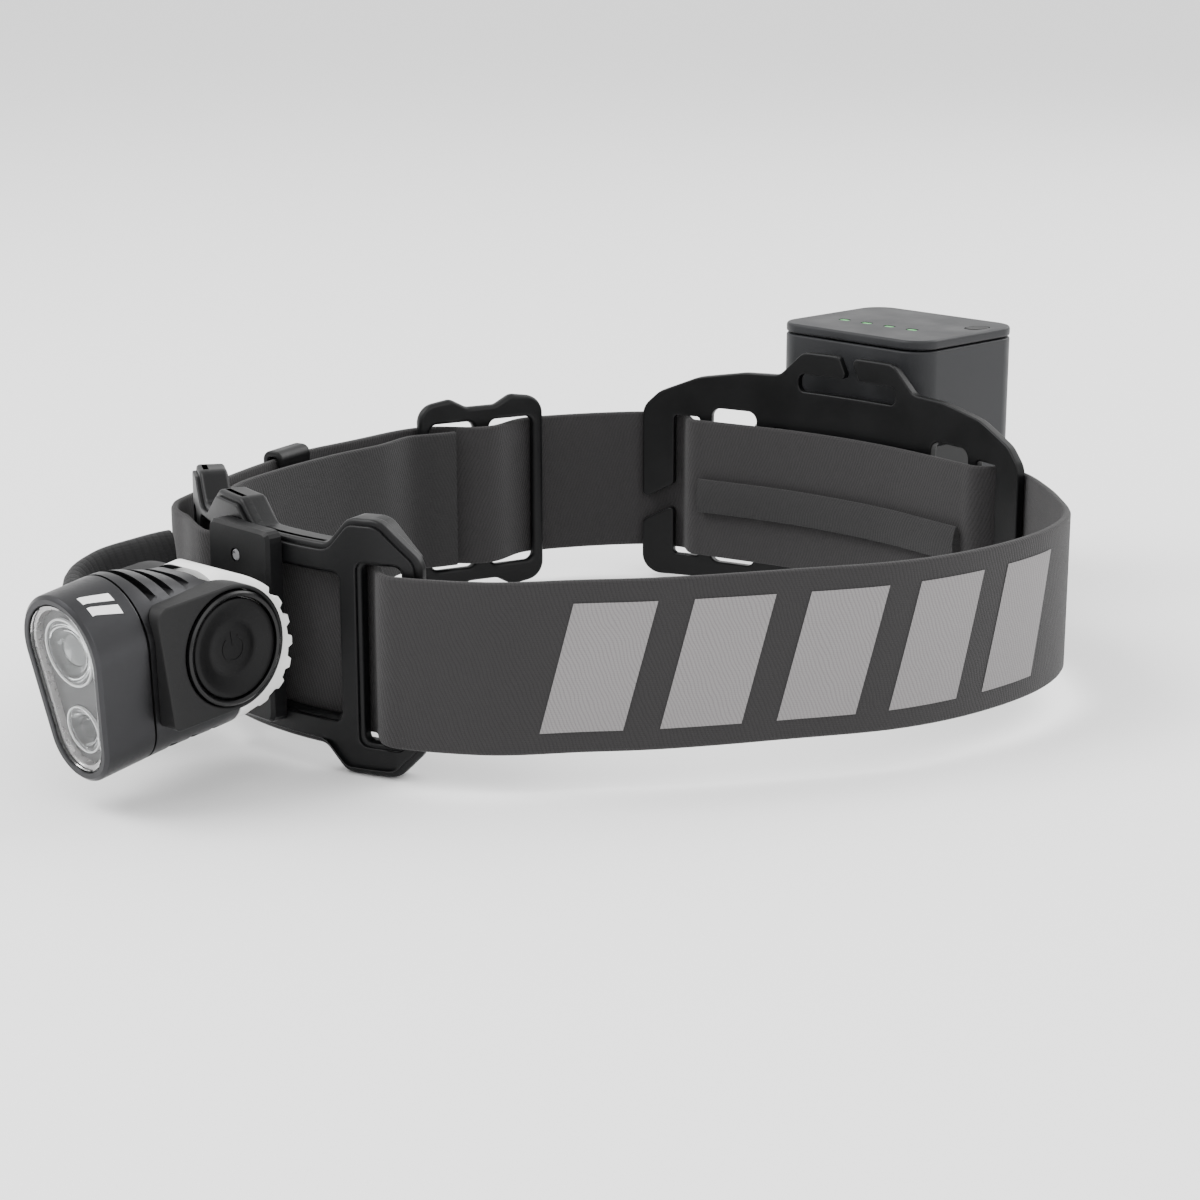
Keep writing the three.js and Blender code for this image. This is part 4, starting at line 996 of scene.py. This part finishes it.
def print_patch(line, start, finish, lean, low, high):
    """A slanted bar of print that lies on the outside of the band between two heights."""
    rows, cloth = [], []
    spans, levels = 14, 12
    step = (line[1] - line[0]).length
    for level in range(levels + 1):
        z = low + (high - low) * level / levels
        row = []
        for k in range(spans + 1):
            length = start + (finish - start) * k / spans + lean * level / levels
            i = int(length / step)
            share = length / step - i
            point = line[i].lerp(line[i + 1], share)
            out = outward(line, i, True).lerp(outward(line, i + 1, True), share)
            reach = BAND_THICK / 2 + 0.14
            row.append(Vector((point.x + out.x * reach, point.y + out.y * reach, z)))
            cloth.append((length, z, 1.0))
        rows.append(row)
    return rows, cloth


def build_print(line):
    """Five plain slanted bars in place of a name."""
    first, pitch, width, lean = 129.0, 24.5, 17.0, 7.0
    low, high = BAND_LOW + 4.6, BAND_HIGH - 4.6
    points, cloth, faces = [], [], []
    for k in range(5):
        start = first + k * pitch
        rows, coordinates = print_patch(line, start, start + width, lean, low, high)
        faces += sheet_faces(len(rows), len(rows[0]), len(points))
        points += [point for row in rows for point in row]
        cloth += coordinates
    mesh = cloth_mesh("print", points, faces, cloth)
    piece("reflective_bars", mesh, LOOP, INK, "frame")


def build_straps():
    band = smooth_line(BAND_LINE, True)
    piece("headband_strap", strap_mesh(band, BAND_THICK, BAND_LOW, BAND_HIGH, True, sag=0.1), LOOP, FABRIC,
          "frame", ["headband"], 60)
    build_print(band)
    inner = smooth_line(INNER_LINE)
    piece("inner_strap", strap_mesh(inner, BAND_THICK, BAND_LOW + 0.5, BAND_HIGH - 0.5), LOOP, FABRIC_SHADED,
          "frame", ["band_inner_layer"], 60)
    channel = smooth_line(CHANNEL_LINE)
    low, high = (corner.z for corner in in_loop("lead_sleeve"))
    piece("lead_channel", strap_mesh(channel, 1.0, low - 0.6, high + 0.6, bulge=0.8), LOOP, FABRIC_SHADED,
          "frame", ["lead_sleeve"], 60)


LEAD_LINE = [Vector((AXIS_IN_LOOP.x + x, y)) for x, y in
             ((-18, -117.5), (-22, -119.5), (-28, -124), (-36, -120), (-39, -112), (-37, -103.5),
              (-36, -95.5))]


def build_lead():
    """The lead in its flat fabric sleeve, which rises and widens as it comes back to the band."""
    low, high = (corner.z for corner in in_loop("lamp_lead"))
    middle = (low + high) / 2
    drop = middle - AXIS_IN_LOOP.z - 1

    def rising(share, n, z):
        ease = eased(share)
        half_height = 6.0 + 4.4 * ease
        tall = (z - middle) / 7.5
        fat = n * (1.0 + 0.5 * math.cos(math.pi * min(1, abs(tall)) / 2))
        return fat, middle - drop * (1 - ease) + tall * half_height

    line = smooth_line(LEAD_LINE, fine=0.8)
    mesh = strap_mesh(line, 3.4, middle - 7.5, middle + 7.5, shape=rising, bulge=0.3)
    piece("sleeved_lead", mesh, LOOP, SLEEVE, "frame", ["lamp_lead"], 60)


def build_buckle():
    """A three-bar slide, its end bars held by rounded lobes."""
    half, bar = 17.5, 3.0
    outline = rounded([(-half, 2, 5), (-half + 9, 0.6, 3), (-4, 3, 3), (4, 3, 3), (half - 9, 0.6, 3),
                       (half, 2, 5), (half, 50, 5), (half - 9, 51.4, 3), (4, 49, 3), (-4, 49, 3),
                       (-half + 9, 51.4, 3), (-half, 50, 5)])
    holes = [rectangle(2.2 * side, 6.8, (half - bar) * side, 45.2, 2) for side in (1, -1)]
    flat = moved(plate(outline, holes, -1.4, 1.4, 1.0), ALONG_X)
    place = Matrix.Translation((*BUCKLE_PLACE, 0)) @ Matrix.Rotation(BUCKLE_TURN, 4, "Z")
    piece("strap_buckle", flat, LOOP @ place, BLACK, "frame", ["adjuster_buckle"], 50)


def build_keeper():
    wall, half = 1.5, 6.0
    inside = (BAND_THICK / 2 + 0.45, BAND_LOW - 0.5, BAND_HIGH + 0.5)
    outer = rectangle(-inside[0] - wall, inside[1] - wall, inside[0] + wall, inside[2] + wall, 2.2)
    hole = rectangle(-inside[0], inside[1], inside[0], inside[2], 0.8)
    ring = prism("y", outer, -half, half, [hole], 0.45)
    start, end = KEEPER_STRETCH
    turn = math.atan2(end.x - start.x, start.y - end.y)
    place = Matrix.Translation((*((start + end) / 2), 0)) @ Matrix.Rotation(turn, 4, "Z")
    piece("strap_keeper_ring", ring, LOOP @ place, BLACK, "frame", ["strap_keeper"], 50)


# ---------------- battery and holder
BATTERY_CORNER = 7.0


def lid_well(name, radius, gap=0.3):
    """Room round a CAD node that is let into the battery's lid, open at the top."""
    a, b = in_loop(name)
    return prism("z", rectangle(a.x - gap, a.y - gap, b.x + gap, b.y + gap, radius), a.z, b.z + 3)


def build_battery():
    """The case and its lid. The case is solid here: only its outside is seen."""
    low, high = in_loop("battery_case")
    lid_low, lid_high = in_loop("battery_lid")
    outline = rectangle(low.x, low.y, high.x, high.y, BATTERY_CORNER)
    piece("battery_shell", prism("z", outline, low.z, high.z, bevel=0.5), LOOP, BATTERY, "battery",
          ["battery_case"], 50)
    wells = [lid_well(f"indicator_light_{k}", 0.7) for k in range(1, 5)]
    wells.append(lid_well("check_button", 2.4))
    lid = carved(prism("z", outline, lid_low.z, lid_high.z, bevel=0.7), wells)
    piece("battery_top", lid, LOOP, BATTERY, "battery", ["battery_lid"], 40)


def build_holder():
    low, high = in_loop("battery_holder")
    case_low, case_high = in_loop("battery_case")
    wall, gap = 1.8, 0.4
    cup = prism("z", rectangle(low.x, low.y - 3, high.x, high.y, BATTERY_CORNER + 2), low.z, high.z)
    room = prism("z", rectangle(case_low.x - gap, case_low.y - gap, case_high.x + gap, case_high.y + gap,
                                BATTERY_CORNER + gap), low.z + wall, high.z + 5)
    lip = block((low.x - 5, 108, 18), (high.x + 5, high.y + 5, high.z + 5))
    face = prism("z", circle(*REAR_CENTRE.xy, REAR["outer"] + 0.3, 0.75), -5, 80)
    window = prism("z", rectangle(-14, 116, 14, 124, 2), -1, 3)
    cradle = bevelled(carved(cup, [room, lip, face, window]), 0.35, 3, 35)
    piece("battery_cradle", cradle, LOOP, REAR_BLACK, "frame", ["battery_holder"], 40)


# ---------------- carried-over CAD nodes
def dress(nodes, material, bevel=0.0):
    for name in nodes:
        shown = frame["nodes"][name]
        shown.data.materials.clear()
        shown.data.materials.append(material)
        if bevel:
            modifier = shown.modifiers.new("soft edges", "BEVEL")
            modifier.width = bevel * MM
            modifier.segments = 2
            modifier.limit_method = "ANGLE"
            modifier.angle_limit = math.radians(35)
            modifier.harden_normals = True


def dress_frame():
    dress(["hinge_base", "contact_block", "lead_gland", "button_switch"], BLACK, 0.35)
    dress(["pivot_pin", "detent_spring", "base_screw_lower", "base_screw_upper", "holder_screw_left",
           "holder_screw_right"], STEEL)
    dress(["led_board", "driver_board", "battery_board"], GREEN_BOARD)
    dress(["spot_led", "flood_led"], PHOSPHOR)
    dress([f"battery_cell_{k}" for k in range(1, 5)], CELL_WRAP)
    dress([f"indicator_light_{k}" for k in range(1, 5)], GREEN)
    dress(["check_button"], RUBBER, 0.3)


# ---------------- stage, light and camera
AZIMUTH, ELEVATION = math.radians(46), math.radians(15.02)
CAMERA_AT = Vector((425.0, -408.5, 174.0))     # in the headband's coordinates
LIGHTS = (                                     # name, place and size in metres, power in watts
    ("key", (-0.5, -0.7, 1.1), 0.8, 18),
    ("fill", (1.2, -0.3, 0.8), 1.2, 8),
    ("back", (0.2, 1.2, 0.9), 1.0, 14),
)


def build_stage():
    floor_mesh = bpy.data.meshes.new("floor")
    reach = 12.0
    floor_mesh.from_pydata([(-reach, -reach, 0), (reach, -reach, 0), (reach, reach, 0), (-reach, reach, 0)],
                           [], [(0, 1, 2, 3)])
    floor = linked("floor", floor_mesh)
    floor.location.z = CAD_LOW.z - 0.0002
    paper = principled("pale_floor", (0.93, 0.93, 0.93), 0.7)[0]
    floor_mesh.materials.append(paper)

    world = bpy.data.worlds.new("studio")
    bpy.context.scene.world = world
    world.use_nodes = True
    background = world.node_tree.nodes["Background"]
    background.inputs["Color"].default_value = (1, 1, 1, 1)
    background.inputs["Strength"].default_value = 1.6
    target = LOOP @ Vector((0, -10, 25))
    for name, place, size, power in LIGHTS:
        lamp = bpy.data.lights.new(name, "AREA")
        lamp.size = size
        lamp.energy = power
        source = linked(name, lamp)
        source.location = Vector(place)
        source.rotation_euler = (target - source.location).to_track_quat("-Z", "Y").to_euler()


def build_camera():
    data = bpy.data.cameras.new("camera")
    data.sensor_width = 36
    data.lens = 78
    data.clip_start, data.clip_end = 0.01, 50
    camera = linked("camera", data)
    back = Vector((math.sin(AZIMUTH) * math.cos(ELEVATION), -math.cos(AZIMUTH) * math.cos(ELEVATION),
                   math.sin(ELEVATION)))
    camera.location = LOOP @ CAMERA_AT
    camera.rotation_euler = (-back).to_track_quat("-Z", "Y").to_euler()
    bpy.context.scene.camera = camera


build_camera()
build_stage()
build_lamp()
build_front_bracket()
build_rear_bracket()
build_straps()
build_lead()
build_buckle()
build_keeper()
build_battery()
build_holder()
dress_frame()
